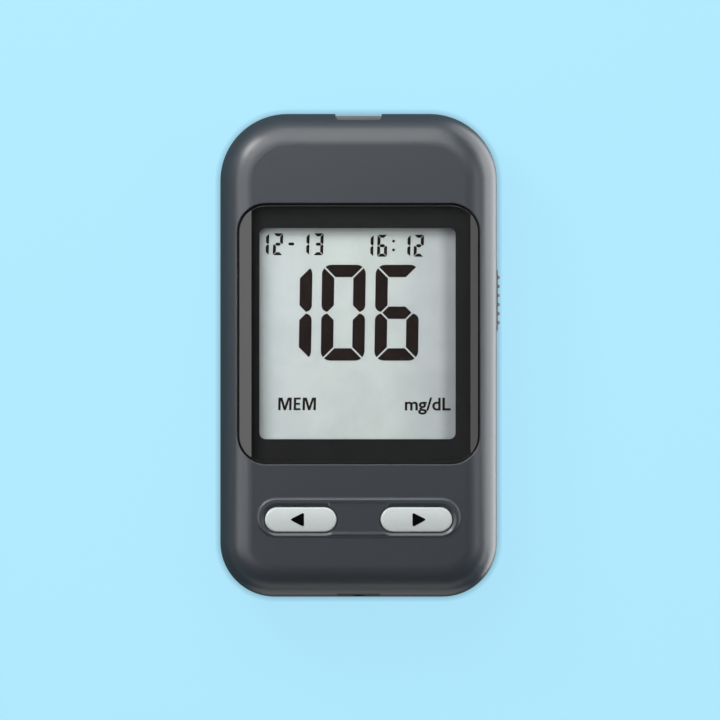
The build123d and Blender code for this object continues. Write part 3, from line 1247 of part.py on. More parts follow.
for name, height, offset in (
    ("chip_capacitors", CAPACITOR_HEIGHT, CONTROLLER_SIZE),
    ("chip_resistors", RESISTOR_HEIGHT, CONTROLLER_SIZE + PASSIVE_PITCH),
):
    with BuildPart() as passives:
        with Locations((WINDOW_X, WINDOW_Y - offset, BOARD_TOP)):
            with GridLocations(PASSIVE_PITCH, 0, PASSIVES_PER_ROW, 1):
                Box(PASSIVE_WIDTH, PASSIVE_LENGTH, height, align=SEATED)
    save(passives.part, name)

with BuildPart() as buzzer:
    with Locations((*BUZZER_PLACE, BOARD_HEIGHT)):
        Cylinder(BUZZER_RADIUS, BUZZER_HEIGHT, align=HUNG)
    with Locations((*BUZZER_PLACE, BOARD_HEIGHT - BUZZER_HEIGHT)):
        Cylinder(BUZZER_HOLE_RADIUS, BUZZER_HEIGHT / 2, align=SEATED, mode=Mode.SUBTRACT)
save(buzzer.part, "buzzer")
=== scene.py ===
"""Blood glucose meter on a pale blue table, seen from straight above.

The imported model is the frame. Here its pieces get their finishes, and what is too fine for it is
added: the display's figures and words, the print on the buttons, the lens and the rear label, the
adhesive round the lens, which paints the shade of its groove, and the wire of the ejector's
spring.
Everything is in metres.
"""

import math

import bmesh
import bpy
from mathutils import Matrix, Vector


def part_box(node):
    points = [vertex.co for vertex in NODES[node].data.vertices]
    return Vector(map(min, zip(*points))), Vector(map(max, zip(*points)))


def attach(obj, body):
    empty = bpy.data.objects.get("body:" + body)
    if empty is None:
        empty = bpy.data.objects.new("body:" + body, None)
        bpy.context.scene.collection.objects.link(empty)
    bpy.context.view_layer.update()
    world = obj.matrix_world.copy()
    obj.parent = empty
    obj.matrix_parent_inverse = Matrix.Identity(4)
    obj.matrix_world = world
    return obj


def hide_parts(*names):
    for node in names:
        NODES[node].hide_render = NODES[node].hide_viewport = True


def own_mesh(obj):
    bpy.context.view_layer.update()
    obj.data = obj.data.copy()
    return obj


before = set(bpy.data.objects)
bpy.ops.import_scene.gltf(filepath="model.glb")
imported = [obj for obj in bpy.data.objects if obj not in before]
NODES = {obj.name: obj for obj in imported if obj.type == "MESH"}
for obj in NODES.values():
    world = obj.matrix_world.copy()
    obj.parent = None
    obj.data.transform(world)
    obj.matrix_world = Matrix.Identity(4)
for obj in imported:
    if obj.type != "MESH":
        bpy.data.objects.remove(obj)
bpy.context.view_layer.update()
SCENE = bpy.context.scene
MM = 0.001

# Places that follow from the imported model
FILM_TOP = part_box("lcd_front_polarizer")[1].z
LEFT_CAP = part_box("left_button")
RIGHT_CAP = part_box("right_button")
LABEL_LOW, LABEL_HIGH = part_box("rear_label")

# Camera; the width of the view is taken at the height of the case's widest line
VIEW_WIDTH = 135.5 * MM
WIDEST_LINE = 9 * MM
FOCAL_LENGTH = 1200.0
SENSOR_WIDTH = 36.0
VIEW_CENTRE = Vector((0.27 * MM, -0.885 * MM, 0))

# Table
TABLE_COLOUR = (0.440, 0.815, 1.0)
TABLE_SIZE = 3.0
TABLE_DROP = 0.02 * MM  # below the meter's lowest face
TABLE_GLOW = 0.92  # share of the table's colour that doesn't depend on the lamps
MIRRORED_GLOW = 0.1  # how much of that glow shiny surfaces show
CONTACT_SHADE = 0.5  # what is left of that glow right beside the meter
CONTACT_REACH = 2.35 * MM
CONTACT_SIDE = (0.2, 0.93, 0.3)  # the shade falls on the side away from this
CONTACT_FULL = 0.55  # openness at which the shade is deepest

# Room and lamps
ROOM_OVERHEAD = 0.05
ROOM_AT_HORIZON = 0.07
BACKDROP_LOW, BACKDROP_HIGH = 0.05, 0.2  # rise of a mirrored ray over which the backdrop fades
LAMP_DISTANCE = 450  # mm
WARM_WHITE = (1.0, 0.9, 0.86)

# Rounding of sharp edges and depth of the grain
PLASTIC_EDGE = 0.1 * MM
METAL_EDGE = 0.05 * MM
METAL_GRAIN = 0.002 * MM

# Repeats in a metre
TARNISH_SCALE = 250.0
TRACK_SCALE = 260.0
PAD_SCALE = 330.0


# ---------------------------------------------------------------- node helpers


def put(tree, kind, settings=None, inputs=None):
    """Adds a node, sets its properties, and sets or links its inputs by name or number."""
    node = tree.nodes.new(kind)
    for name, value in (settings or {}).items():
        setattr(node, name, value)
    for name, value in (inputs or {}).items():
        if isinstance(value, bpy.types.NodeSocket):
            tree.links.new(value, node.inputs[name])
        else:
            node.inputs[name].default_value = value
    return node


def start_group(name, inputs, outputs):
    """Empty shader group with those sockets; inputs map a name to its kind and default."""
    tree = bpy.data.node_groups.new(name, "ShaderNodeTree")
    for label, (kind, default) in inputs.items():
        socket = tree.interface.new_socket(label, in_out="INPUT", socket_type=kind)
        socket.default_value = default
    for label, kind in outputs.items():
        tree.interface.new_socket(label, in_out="OUTPUT", socket_type=kind)
    return tree, tree.nodes.new("NodeGroupInput").outputs, tree.nodes.new("NodeGroupOutput").inputs


def calculate(tree, operation, first, second):
    """Result of a sum, product or comparison of two values."""
    return put(tree, "ShaderNodeMath", {"operation": operation}, {0: first, 1: second}).outputs[0]


def scale_of(tree, size):
    """Noise scale for a feature size in millimetres."""
    return calculate(tree, "DIVIDE", 1 / MM, size)


def noise(tree, place, scale, detail, roughness=0.5):
    """Cloudy value between 0 and 1."""
    inputs = {"Vector": place, "Scale": scale, "Detail": detail, "Roughness": roughness}
    return put(tree, "ShaderNodeTexNoise", None, inputs).outputs[0]


def mix(tree, factor, first, second):
    """Colour between first and second; 6, 7 and 2 are the node's colour sockets."""
    node = put(tree, "ShaderNodeMix", {"data_type": "RGBA"}, {0: factor, 6: first, 7: second})
    return node.outputs[2]


def brighten(tree, colour, shade):
    """Colour times shade."""
    inputs = {0: colour, "Scale": shade}
    return put(tree, "ShaderNodeVectorMath", {"operation": "SCALE"}, inputs).outputs[0]


def remap(tree, value, low, high, to_low, to_high):
    """Value moved from one range into another, and kept inside it."""
    return put(
        tree,
        "ShaderNodeMapRange",
        None,
        {"Value": value, "From Min": low, "From Max": high, "To Min": to_low, "To Max": to_high},
    ).outputs[0]


def blend(tree, factor, first, second):
    """Shader between first and second."""
    inputs = {0: factor, 1: first.outputs[0], 2: second.outputs[0]}
    return put(tree, "ShaderNodeMixShader", None, inputs).outputs[0]


FLOAT = "NodeSocketFloat"
COLOUR = "NodeSocketColor"
VECTOR = "NodeSocketVector"


def moulded_surface():
    """Spark-eroded mould texture: a fine grain, slow drift of the colour and uneven gloss."""
    tree, given, result = start_group(
        "moulded_surface",
        {
            "Colour": (COLOUR, (0.5, 0.5, 0.5, 1)),
            "Drift Colour": (COLOUR, (0.5, 0.5, 0.5, 1)),
            "Drift Size": (FLOAT, 30.0),
            "Grain Size": (FLOAT, 0.3),
            "Gloss Low": (FLOAT, 0.3),
            "Gloss High": (FLOAT, 0.4),
        },
        {"Colour": COLOUR, "Roughness": FLOAT, "Height": FLOAT},
    )
    place = put(tree, "ShaderNodeTexCoord").outputs["Object"]
    drift = noise(tree, place, scale_of(tree, given["Drift Size"]), 3.0)
    grain = noise(tree, place, scale_of(tree, given["Grain Size"]), 4.0, 0.6)
    slow = remap(tree, drift, 0.35, 0.65, 0.0, 1.0)
    colour = mix(tree, slow, given["Colour"], given["Drift Colour"])
    speckled = brighten(tree, colour, remap(tree, grain, 0.3, 0.7, 0.94, 1.06))
    gloss = remap(tree, grain, 0.3, 0.7, given["Gloss Low"], given["Gloss High"])
    tree.links.new(speckled, result["Colour"])
    tree.links.new(gloss, result["Roughness"])
    tree.links.new(grain, result["Height"])
    return tree


def brushed_metal():
    """Fine parallel brush lines with a slow change of tone, along the given axis."""
    tree, given, result = start_group(
        "brushed_metal",
        {
            "Colour": (COLOUR, (0.6, 0.6, 0.6, 1)),
            "Tarnish Colour": (COLOUR, (0.4, 0.38, 0.35, 1)),
            "Stretch": (VECTOR, (1.0, 20.0, 20.0)),
            "Line Size": (FLOAT, 1.0),
            "Roughness": (FLOAT, 0.25),
        },
        {"Colour": COLOUR, "Roughness": FLOAT, "Height": FLOAT},
    )
    place = put(tree, "ShaderNodeTexCoord").outputs["Object"]
    drawn = put(
        tree,
        "ShaderNodeVectorMath",
        {"operation": "MULTIPLY"},
        {0: place, 1: given["Stretch"]},
    ).outputs[0]
    lines = noise(tree, drawn, scale_of(tree, given["Line Size"]), 4.0, 0.7)
    cloud = noise(tree, place, TARNISH_SCALE, 3.0)
    tarnish = remap(tree, cloud, 0.45, 0.75, 0.0, 0.7)
    tone = mix(tree, tarnish, given["Colour"], given["Tarnish Colour"])
    shaded = brighten(tree, tone, remap(tree, lines, 0.3, 0.7, 0.88, 1.08))
    rough = put(
        tree,
        "ShaderNodeMath",
        {"operation": "ADD", "use_clamp": True},
        {0: given["Roughness"], 1: remap(tree, lines, 0.3, 0.7, -0.06, 0.08)},
    ).outputs[0]
    tree.links.new(shaded, result["Colour"])
    tree.links.new(rough, result["Roughness"])
    tree.links.new(lines, result["Height"])
    return tree


def soft_edges():
    """Normal that rounds the sharp edges by a small radius, so that they catch the light."""
    tree, given, result = start_group(
        "soft_edges", {"Radius": (FLOAT, PLASTIC_EDGE)}, {"Normal": VECTOR}
    )
    rounded = put(tree, "ShaderNodeBevel", {"samples": 6}, {"Radius": given["Radius"]})
    tree.links.new(rounded.outputs[0], result["Normal"])
    return tree


def panel_shade():
    """Mask that rises from 0 to its most towards one side of a flat panel."""
    tree, given, result = start_group(
        "panel_shade",
        {
            "Axis": (VECTOR, (1.0, 0.0, 0.0)),
            "Start": (FLOAT, 0.0),
            "End": (FLOAT, 1.0),
            "Most": (FLOAT, 1.0),
        },
        {"Mask": FLOAT},
    )
    place = put(tree, "ShaderNodeTexCoord").outputs["Object"]
    along = put(
        tree,
        "ShaderNodeVectorMath",
        {"operation": "DOT_PRODUCT"},
        {0: place, 1: given["Axis"]},
    ).outputs["Value"]
    mask = put(
        tree,
        "ShaderNodeMapRange",
        {"interpolation_type": "SMOOTHSTEP"},
        {
            "Value": along,
            "From Min": given["Start"],
            "From Max": given["End"],
            "To Max": given["Most"],
        },
    ).outputs[0]
    tree.links.new(mask, result["Mask"])
    return tree


MOULDED = moulded_surface()
BRUSHED = brushed_metal()
SOFT_EDGES = soft_edges()
PANEL_SHADE = panel_shade()


def use(tree, group, **values):
    """Places a shader group and sets its inputs; a name's underscores stand for spaces."""
    inputs = {name.replace("_", " "): value for name, value in values.items()}
    return put(tree, "ShaderNodeGroup", {"node_tree": group}, inputs).outputs


def blank_material(name):
    """Material with a Principled shader; returns it with its tree and that shader."""
    material = bpy.data.materials.new(name)
    material.use_nodes = True
    tree = material.node_tree
    return material, tree, tree.nodes["Principled BSDF"]


def rgba(colour, share=1.0):
    """Colour times share, with full alpha."""
    return (*(share * c for c in colour), 1.0)


def show_surface(tree, shader, surface):
    """Gives the shader a surface group's colour and roughness."""
    tree.links.new(surface["Colour"], shader.inputs["Base Color"])
    tree.links.new(surface["Roughness"], shader.inputs["Roughness"])


def raise_grain(tree, shader, height, depth, edge_radius=None):
    """Gives the shader a grain of that depth, and softened edges if they have a radius."""
    inputs = {"Strength": 1.0, "Distance": depth, "Height": height}
    if edge_radius:
        inputs["Normal"] = use(tree, SOFT_EDGES, Radius=edge_radius)["Normal"]
    bump = put(tree, "ShaderNodeBump", None, inputs)
    tree.links.new(bump.outputs[0], shader.inputs["Normal"])


# ---------------------------------------------------------------- finishes


def moulded_plastic(
    name,
    colour,
    drift_colour=None,
    grain_size=0.3,
    gloss=(0.32, 0.42),
    grain_depth=0.01 * MM,
    specular=0.5,
):
    """Injection-moulded plastic with a fine grain and softened edges."""
    material, tree, shader = blank_material(name)
    surface = use(
        tree,
        MOULDED,
        Colour=rgba(colour),
        Drift_Colour=rgba(drift_colour or colour),
        Grain_Size=grain_size,
        Gloss_Low=gloss[0],
        Gloss_High=gloss[1],
    )
    show_surface(tree, shader, surface)
    raise_grain(tree, shader, surface["Height"], grain_depth, PLASTIC_EDGE)
    shader.inputs["Specular IOR Level"].default_value = specular
    return material


def metal_finish(name, colour, tarnish, stretch, line_size=1.0):
    """Bare metal with brush or draw lines and a little tarnish."""
    material, tree, shader = blank_material(name)
    surface = use(
        tree,
        BRUSHED,
        Colour=rgba(colour),
        Tarnish_Colour=rgba(tarnish),
        Stretch=stretch,
        Line_Size=line_size,
    )
    show_surface(tree, shader, surface)
    raise_grain(tree, shader, surface["Height"], METAL_GRAIN, METAL_EDGE)
    shader.inputs["Metallic"].default_value = 1.0
    return material


def clear_sheet(name, tint, roughness, ior):
    """Clear lens or glass that lets the lamps' light straight through to what lies behind it."""
    material, tree, shader = blank_material(name)
    surface = use(
        tree,
        MOULDED,
        Colour=rgba(tint),
        Drift_Colour=rgba(tint, 0.985),
        Drift_Size=12.0,
        Grain_Size=6.0,
    )
    tree.links.new(surface["Colour"], shader.inputs["Base Color"])
    shader.inputs["Roughness"].default_value = roughness
    shader.inputs["IOR"].default_value = ior
    shader.inputs["Transmission Weight"].default_value = 1.0
    path = put(tree, "ShaderNodeLightPath").outputs
    straight = calculate(tree, "MAXIMUM", path["Is Shadow Ray"], path["Is Diffuse Ray"])
    clear = put(tree, "ShaderNodeBsdfTransparent", None, {"Color": rgba(tint)})
    sheet = blend(tree, straight, shader, clear)
    tree.links.new(sheet, tree.nodes["Material Output"].inputs["Surface"])
    return material


# Painted shade on the display, each part: towards which side, start, end, strength and colour
DISPLAY_PAINTED_SHADE = (
    ((-1, 0, 0), 4 * MM, 18 * MM, 0.4, (0.565, 0.605, 0.635, 1)),
    ((1, 0, 0), 5 * MM, 15 * MM, 0.8, (0.47, 0.50, 0.52, 1)),
    ((1, 0, 0), 14.6 * MM, 17.2 * MM, 1.0, (0.325, 0.34, 0.35, 1)),
)


def display_film():
    """Grey-green reflective display; painted shade makes it bluer towards its left and darker
    towards its right edge.
    """
    material, tree, shader = blank_material("display_film")
    surface = use(
        tree,
        MOULDED,
        Colour=(0.59, 0.634, 0.627, 1),
        Drift_Colour=(0.598, 0.647, 0.62, 1),
        Drift_Size=14.0,
        Grain_Size=0.2,
        Gloss_Low=0.45,
        Gloss_High=0.55,
    )
    colour = surface["Colour"]
    for axis, start, end, most, tone in DISPLAY_PAINTED_SHADE:
        mask = use(tree, PANEL_SHADE, Axis=axis, Start=start, End=end, Most=most)["Mask"]
        colour = mix(tree, mask, colour, tone)
    tree.links.new(colour, shader.inputs["Base Color"])
    tree.links.new(surface["Roughness"], shader.inputs["Roughness"])
    shader.inputs["Specular IOR Level"].default_value = 0.15
    return material


def printed_ink(name, colour, specular=0.08):
    """Matt black print or a switched-on display segment."""
    material, tree, shader = blank_material(name)
    surface = use(
        tree,
        MOULDED,
        Colour=rgba(colour),
        Drift_Colour=rgba(colour, 1.15),
        Drift_Size=4.0,
        Grain_Size=0.15,
        Gloss_Low=0.5,
        Gloss_High=0.6,
    )
    show_surface(tree, shader, surface)
    shader.inputs["Specular IOR Level"].default_value = specular
    return material


def circuit_board():
    """Green solder mask over copper tracks that run both ways, with bare pads here and there."""
    material, tree, shader = blank_material("circuit_board")
    place = put(tree, "ShaderNodeTexCoord").outputs["Object"]
    tracks = put(
        tree,
        "ShaderNodeTexBrick",
        {"offset": 0.37, "squash": 1.6},
        {
            "Vector": place,
            "Scale": TRACK_SCALE,
            "Mortar Size": 0.035,
            "Mortar Smooth": 0.2,
            "Color1": (0.012, 0.11, 0.045, 1),
            "Color2": (0.015, 0.13, 0.052, 1),
            "Mortar": (0.03, 0.22, 0.09, 1),
        },
    ).outputs
    pads = put(
        tree,
        "ShaderNodeTexVoronoi",
        {"feature": "DISTANCE_TO_EDGE"},
        {"Vector": place, "Scale": PAD_SCALE},
    )
    pad = remap(tree, pads.outputs["Distance"], 0.38, 0.42, 0.0, 1.0)
    colour = mix(tree, pad, tracks["Color"], (0.62, 0.60, 0.55, 1))
    tree.links.new(colour, shader.inputs["Base Color"])
    tree.links.new(pad, shader.inputs["Metallic"])
    raise_grain(tree, shader, tracks["Fac"], 0.03 * MM)
    shader.inputs["Roughness"].default_value = 0.3
    return material


def rating_label():
    """Blank silver film with a faint brushed look."""
    material, tree, shader = blank_material("rating_label")
    surface = use(
        tree,
        BRUSHED,
        Colour=(0.50, 0.51, 0.52, 1),
        Tarnish_Colour=(0.54, 0.55, 0.55, 1),
        Stretch=(1, 12, 12),
        Line_Size=2.0,
        Roughness=0.38,
    )
    show_surface(tree, shader, surface)
    raise_grain(tree, shader, surface["Height"], METAL_GRAIN)
    return material


FINISHES = {
    "case": moulded_plastic(
        "case_plastic",
        (0.029, 0.0345, 0.042),
        (0.031, 0.0365, 0.0445),
        gloss=(0.34, 0.40),
        grain_size=0.18,
        grain_depth=0.004 * MM,
        specular=0.75,
    ),
    "button": moulded_plastic(
        "button_plastic",
        (0.55, 0.59, 0.592),
        (0.54, 0.58, 0.584),
        gloss=(0.26, 0.32),
        grain_size=0.12,
        grain_depth=0.0005 * MM,
    ),
    "gasket": moulded_plastic(
        "gasket_black",
        (0.0145, 0.0145, 0.015),
        (0.016, 0.016, 0.016),
        gloss=(0.6, 0.7),
        specular=0.1,
    ),
    "knob": moulded_plastic("knob_plastic", (0.27, 0.25, 0.275), gloss=(0.4, 0.5)),
    "port": moulded_plastic("port_plastic", (0.102, 0.099, 0.10), gloss=(0.4, 0.5)),
    "lens_print": moulded_plastic(
        "lens_print", (0.013, 0.013, 0.0135), gloss=(0.14, 0.18), grain_depth=0.0002 * MM
    ),
    "jack": moulded_plastic("jack_plastic", (0.008, 0.008, 0.008), gloss=(0.45, 0.6)),
    "frame": moulded_plastic("frame_plastic", (0.62, 0.62, 0.60), (0.66, 0.65, 0.62)),
    "switch": moulded_plastic("switch_plastic", (0.02, 0.02, 0.022), gloss=(0.4, 0.5)),
    "chip": moulded_plastic(
        "chip_resin", (0.016, 0.016, 0.018), grain_size=0.08, gloss=(0.5, 0.65)
    ),
    "zebra": moulded_plastic(
        "zebra_rubber", (0.30, 0.20, 0.20), (0.26, 0.18, 0.18), gloss=(0.6, 0.7)
    ),
    "capacitor": moulded_plastic("capacitor_ceramic", (0.40, 0.28, 0.16), gloss=(0.4, 0.5)),
    "resistor": moulded_plastic("resistor_ceramic", (0.05, 0.05, 0.055), gloss=(0.4, 0.5)),
    "reflector": moulded_plastic("reflector_film", (0.58, 0.61, 0.61), gloss=(0.3, 0.4)),
    "can": metal_finish("cell_can", (0.66, 0.66, 0.65), (0.52, 0.51, 0.49), (14, 1, 14)),
    "spring": metal_finish(
        "spring_steel", (0.55, 0.55, 0.56), (0.42, 0.41, 0.40), (9, 1, 9), line_size=0.5
    ),
    "screw": metal_finish("blackened_screw", (0.13, 0.13, 0.13), (0.09, 0.085, 0.08), (1, 1, 12)),
    "crystal": metal_finish("crystal_can", (0.70, 0.70, 0.70), (0.6, 0.59, 0.57), (1, 14, 14)),
    "gold": metal_finish("gold_plate", (0.80, 0.58, 0.24), (0.62, 0.42, 0.18), (14, 1, 14)),
    "lens": clear_sheet("lens_acrylic", (0.97, 0.98, 0.98), roughness=0.02, ior=1.36),
    "glass": clear_sheet("cell_glass", (0.94, 0.97, 0.96), roughness=0.01, ior=1.52),
    "film": display_film(),
    "ink": printed_ink("display_ink", (0.012, 0.007, 0.006)),
    "arrow": printed_ink("arrow_ink", (0.002, 0.002, 0.002), specular=0.02),
    "board": circuit_board(),
    "label": rating_label(),
}

NODES_OF_FINISH = {
    "case": ("front_cover", "rear_cover", "battery_door"),
    "lens": ("display_lens",),
    "gasket": ("lens_gasket",),
    "film": ("lcd_front_polarizer",),
    "glass": ("lcd_front_glass", "lcd_rear_glass"),
    "reflector": ("lcd_reflector",),
    "frame": ("lcd_frame", "ejector_carriage"),
    "zebra": ("zebra_strip_upper", "zebra_strip_lower"),
    "board": ("main_board",),
    "chip": ("controller_chip", "analog_chip", "memory_chip"),
    "crystal": ("crystal_can",),
    "capacitor": ("chip_capacitors",),
    "resistor": ("chip_resistors",),
    "switch": ("buzzer", "left_switch_base", "right_switch_base"),
    "button": ("left_button", "right_button"),
    "jack": (
        "left_switch_plunger",
        "right_switch_plunger",
        "strip_connector_housing",
        "data_port_bezel",
        "data_jack_housing",
    ),
    "port": ("strip_port_bezel",),
    "gold": ("strip_contacts", "data_jack_terminals"),
    "knob": ("ejector_knob",),
    "can": ("left_coin_cell", "right_coin_cell"),
    "spring": ("battery_negative_contacts", "battery_positive_contacts"),
    "screw": ("case_screws", "board_screws"),
    "label": ("rear_label",),
}


def dress_nodes():
    """Gives every CAD node its finish, but for the spring's sleeve, which the coil replaces."""
    for finish, nodes in NODES_OF_FINISH.items():
        for node in nodes:
            materials = NODES[node].data.materials
            materials.clear()
            materials.append(FINISHES[finish])


# ---------------------------------------------------------------- outlines and plates

WELD_DISTANCE = 1e-7  # corners closer than this become one


def arc(centre, radius, start, end, steps=8):
    """Points on a circle from one angle to another, in degrees."""
    turn = (end - start) / steps
    angles = [math.radians(start + turn * i) for i in range(steps + 1)]
    return [
        Vector((centre[0] + radius * math.cos(a), centre[1] + radius * math.sin(a)))
        for a in angles
    ]


def rounded_box(width, low, high, low_radius, high_radius):
    """Counter-clockwise outline of a box with its own corner radius below and above."""
    return [
        *arc((width - low_radius, low + low_radius), low_radius, -90, 0),
        *arc((width - high_radius, high - high_radius), high_radius, 0, 90),
        *arc((high_radius, high - high_radius), high_radius, 90, 180),
        *arc((low_radius, low + low_radius), low_radius, 180, 270),
    ]


def clip(outline, point, direction):
    """Part of a convex outline on the side of point that direction points to."""
    kept = []
    depth = [(p - point).dot(direction) for p in outline]
    for i, p in enumerate(outline):
        if depth[i - 1] * depth[i] < 0:
            before = outline[i - 1]
            kept.append(before.lerp(p, depth[i - 1] / (depth[i - 1] - depth[i])))
        if depth[i] >= 0:
            kept.append(p)
    return kept


def raise_faces(work, faces, height):
    """Makes a plate of that height out of thin faces."""
    lifted = bmesh.ops.extrude_face_region(work, geom=faces)["geom"]
    top = [part for part in lifted if isinstance(part, bmesh.types.BMVert)]
    bmesh.ops.translate(work, verts=top, vec=(0, 0, height))


def mesh_from(name, work):
    """Mesh of what was built in work, with its faces turned outwards."""
    bmesh.ops.recalc_face_normals(work, faces=work.faces)
    mesh = bpy.data.meshes.new(name)
    work.to_mesh(mesh)
    work.free()
    return mesh


def mesh_of_curve(curve):
    """Mesh that a line of wire or a text makes."""
    drawn = bpy.data.objects.new(curve.name, curve)
    SCENE.collection.objects.link(drawn)
    bpy.context.view_layer.update()
    shown = drawn.evaluated_get(bpy.context.evaluated_depsgraph_get())
    mesh = bpy.data.meshes.new_from_object(shown)
    bpy.data.objects.remove(drawn)
    mesh.materials.clear()
    return mesh


def add_piece(name, mesh, body, finish):
    """Puts a mesh in the scene as a piece that rides on a body."""
    mesh.name = name
    mesh.materials.append(FINISHES[finish])
    piece = bpy.data.objects.new(name, mesh)
    SCENE.collection.objects.link(piece)
    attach(piece, body)
    return piece


def plate_of(name, outlines, bottom, thickness, body, finish):
    """Thin plate with these outlines, raised from bottom, riding on a body."""
    work = bmesh.new()
    for outline in outlines:
        face = work.faces.new([work.verts.new((p[0], p[1], bottom)) for p in outline])
        raise_faces(work, [face], thickness)
    bmesh.ops.remove_doubles(work, verts=work.verts, dist=WELD_DISTANCE)
    add_piece(name, mesh_from(name, work), body, finish)


# ---------------------------------------------------------------- display figures and words

SEGMENTS_OF = {"0": "abcdef", "1": "bc", "2": "abged", "3": "abgcd", "6": "afgedc"}


class DigitStyle:
    """Sizes of one row of seven-segment digits, in metres."""

    def __init__(self, width, height, stroke, gap, outer_radius, waist_radius, lean):
        self.width = width
        self.height = height
        self.stroke = stroke
        self.gap = gap
        self.outer_radius = outer_radius
        self.waist_radius = waist_radius
        self.lean = lean

    def segments(self, figure):
        """Outlines of the segments that are on; the digit's lower left corner is the origin."""
        width, middle, stroke = self.width, self.height / 2, self.stroke
        slit, half = self.gap / 2, stroke / 2
        ring = rounded_box(
            width, middle + slit, self.height, self.waist_radius, self.outer_radius
        )
        corner_left, corner_right = Vector((0, self.height)), Vector((width, self.height))
        waist_left, waist_right = Vector((half, middle)), Vector((width - half, middle))
        slope = math.sqrt(0.5)
        up_right, down_left = Vector((slope, slope)), Vector((-slope, -slope))
        up_left, down_right = Vector((-slope, slope)), Vector((slope, -slope))

        top = clip(ring, Vector((0, self.height - stroke)), Vector((0, 1)))
        top = clip(top, corner_left + slit * up_right, up_right)
        top = clip(top, corner_right + slit * up_left, up_left)
        right = clip(ring, Vector((width - stroke, 0)), Vector((1, 0)))
        right = clip(right, corner_right + slit * down_right, down_right)
        right = clip(right, waist_right + slit * up_right, up_right)
        left = clip(ring, Vector((stroke, 0)), Vector((-1, 0)))
        left = clip(left, corner_left + slit * down_left, down_left)
        left = clip(left, waist_left + slit * up_left, up_left)

        inset = self.gap * 0.7
        start, end = waist_left.x + inset, waist_right.x - inset
        waist = [
            Vector((start, middle)),
            Vector((start + half, middle - half)),
            Vector((end - half, middle - half)),
            Vector((end, middle)),
            Vector((end - half, middle + half)),
            Vector((start + half, middle + half)),
        ]
        shapes = {"a": top, "b": right, "f": left, "g": waist}
        for upper, lower in (("a", "d"), ("b", "c"), ("f", "e")):
            mirrored = [Vector((p.x, self.height - p.y)) for p in shapes[upper]]
            shapes[lower] = mirrored[::-1]
        return [shapes[s] for s in SEGMENTS_OF[figure]]


SEGMENT_THICKNESS = 0.03 * MM
BIG = DigitStyle(
    width=8.23 * MM,
    height=18.03 * MM,
    stroke=2.33 * MM,
    gap=0.29 * MM,
    outer_radius=1.8 * MM,
    waist_radius=1.25 * MM,
    lean=0.016,
)
SMALL = DigitStyle(
    width=1.87 * MM,
    height=4.13 * MM,
    stroke=0.58 * MM,
    gap=0.1 * MM,
    outer_radius=0.3 * MM,
    waist_radius=0.2 * MM,
    lean=0.03,
)

# Where the rows stand; the left edges are in millimetres
READING_LEFTS, READING_Y = (-17.03, -6.99, 3.09), 8.01 * MM
DATE_LEFTS, DATE_Y = (-18.71, -16.08, -11.11, -8.48), 20.88 * MM
TIME_LEFTS, TIME_Y = (0.94, 3.51, 7.89, 10.39), 20.60 * MM
DASH_CENTRE, DASH_LENGTH, DASH_HEIGHT = (-12.64 * MM, 20.93 * MM), 1.13 * MM, 0.55 * MM
COLON_DOTS, COLON_RADIUS = ((6.58 * MM, 21.46 * MM), (6.58 * MM, 19.81 * MM)), 0.27 * MM
LETTER_HEIGHT = 2.37 * MM
MEMORY_LEFTS, MEMORY_BASELINE = (-15.13 * MM, -12.22 * MM, -10.55 * MM), -10.32 * MM
UNIT_LEFT, UNIT_BASELINE, UNIT_WIDTH = 8.70 * MM, -10.31 * MM, 8.62 * MM


def plate_on_film(name, outlines):
    """Black segments on the display's face."""
    plate_of(name, outlines, FILM_TOP, SEGMENT_THICKNESS, "case", "ink")


def figures(name, style, text, lefts, middle_y):
    """A row of digits; lefts holds where each digit's box starts (mm)."""
    foot = middle_y - style.height / 2
    outlines = [
        [
            Vector((left * MM + p.x + style.lean * (p.y - style.height / 2), foot + p.y))
            for p in shape
        ]
        for figure, left in zip(text, lefts)
        for shape in style.segments(figure)
    ]
    plate_on_film(name, outlines)


def rounded_dash(centre, length, height):
    """Outline of a short dash with round ends."""
    radius = height / 2
    reach = length / 2 - radius
    return [
        *arc((centre[0] + reach, centre[1]), radius, -90, 90),
        *arc((centre[0] - reach, centre[1]), radius, 90, 270),
    ]


def round_dot(centre, radius):
    """Outline of a dot with 24 corners."""
    return arc(centre, radius, 0, 345, 23)


def display_figures():
    """The reading, the date and the time on the display, with the dash and the colon."""
    figures("reading_figures", BIG, "106", READING_LEFTS, READING_Y)
    figures("date_figures", SMALL, "1213", DATE_LEFTS, DATE_Y)
    figures("time_figures", SMALL, "1612", TIME_LEFTS, TIME_Y)
    plate_on_film("date_dash", [rounded_dash(DASH_CENTRE, DASH_LENGTH, DASH_HEIGHT)])
    plate_on_film("time_colon", [round_dot(centre, COLON_RADIUS) for centre in COLON_DOTS])


def leaning(outline, left):
    """Letter drawn in millimetres, set down at its place with the display's slight lean."""
    return [
        Vector((left + (x + SMALL.lean * y) * MM, MEMORY_BASELINE + y * MM)) for x, y in outline
    ]


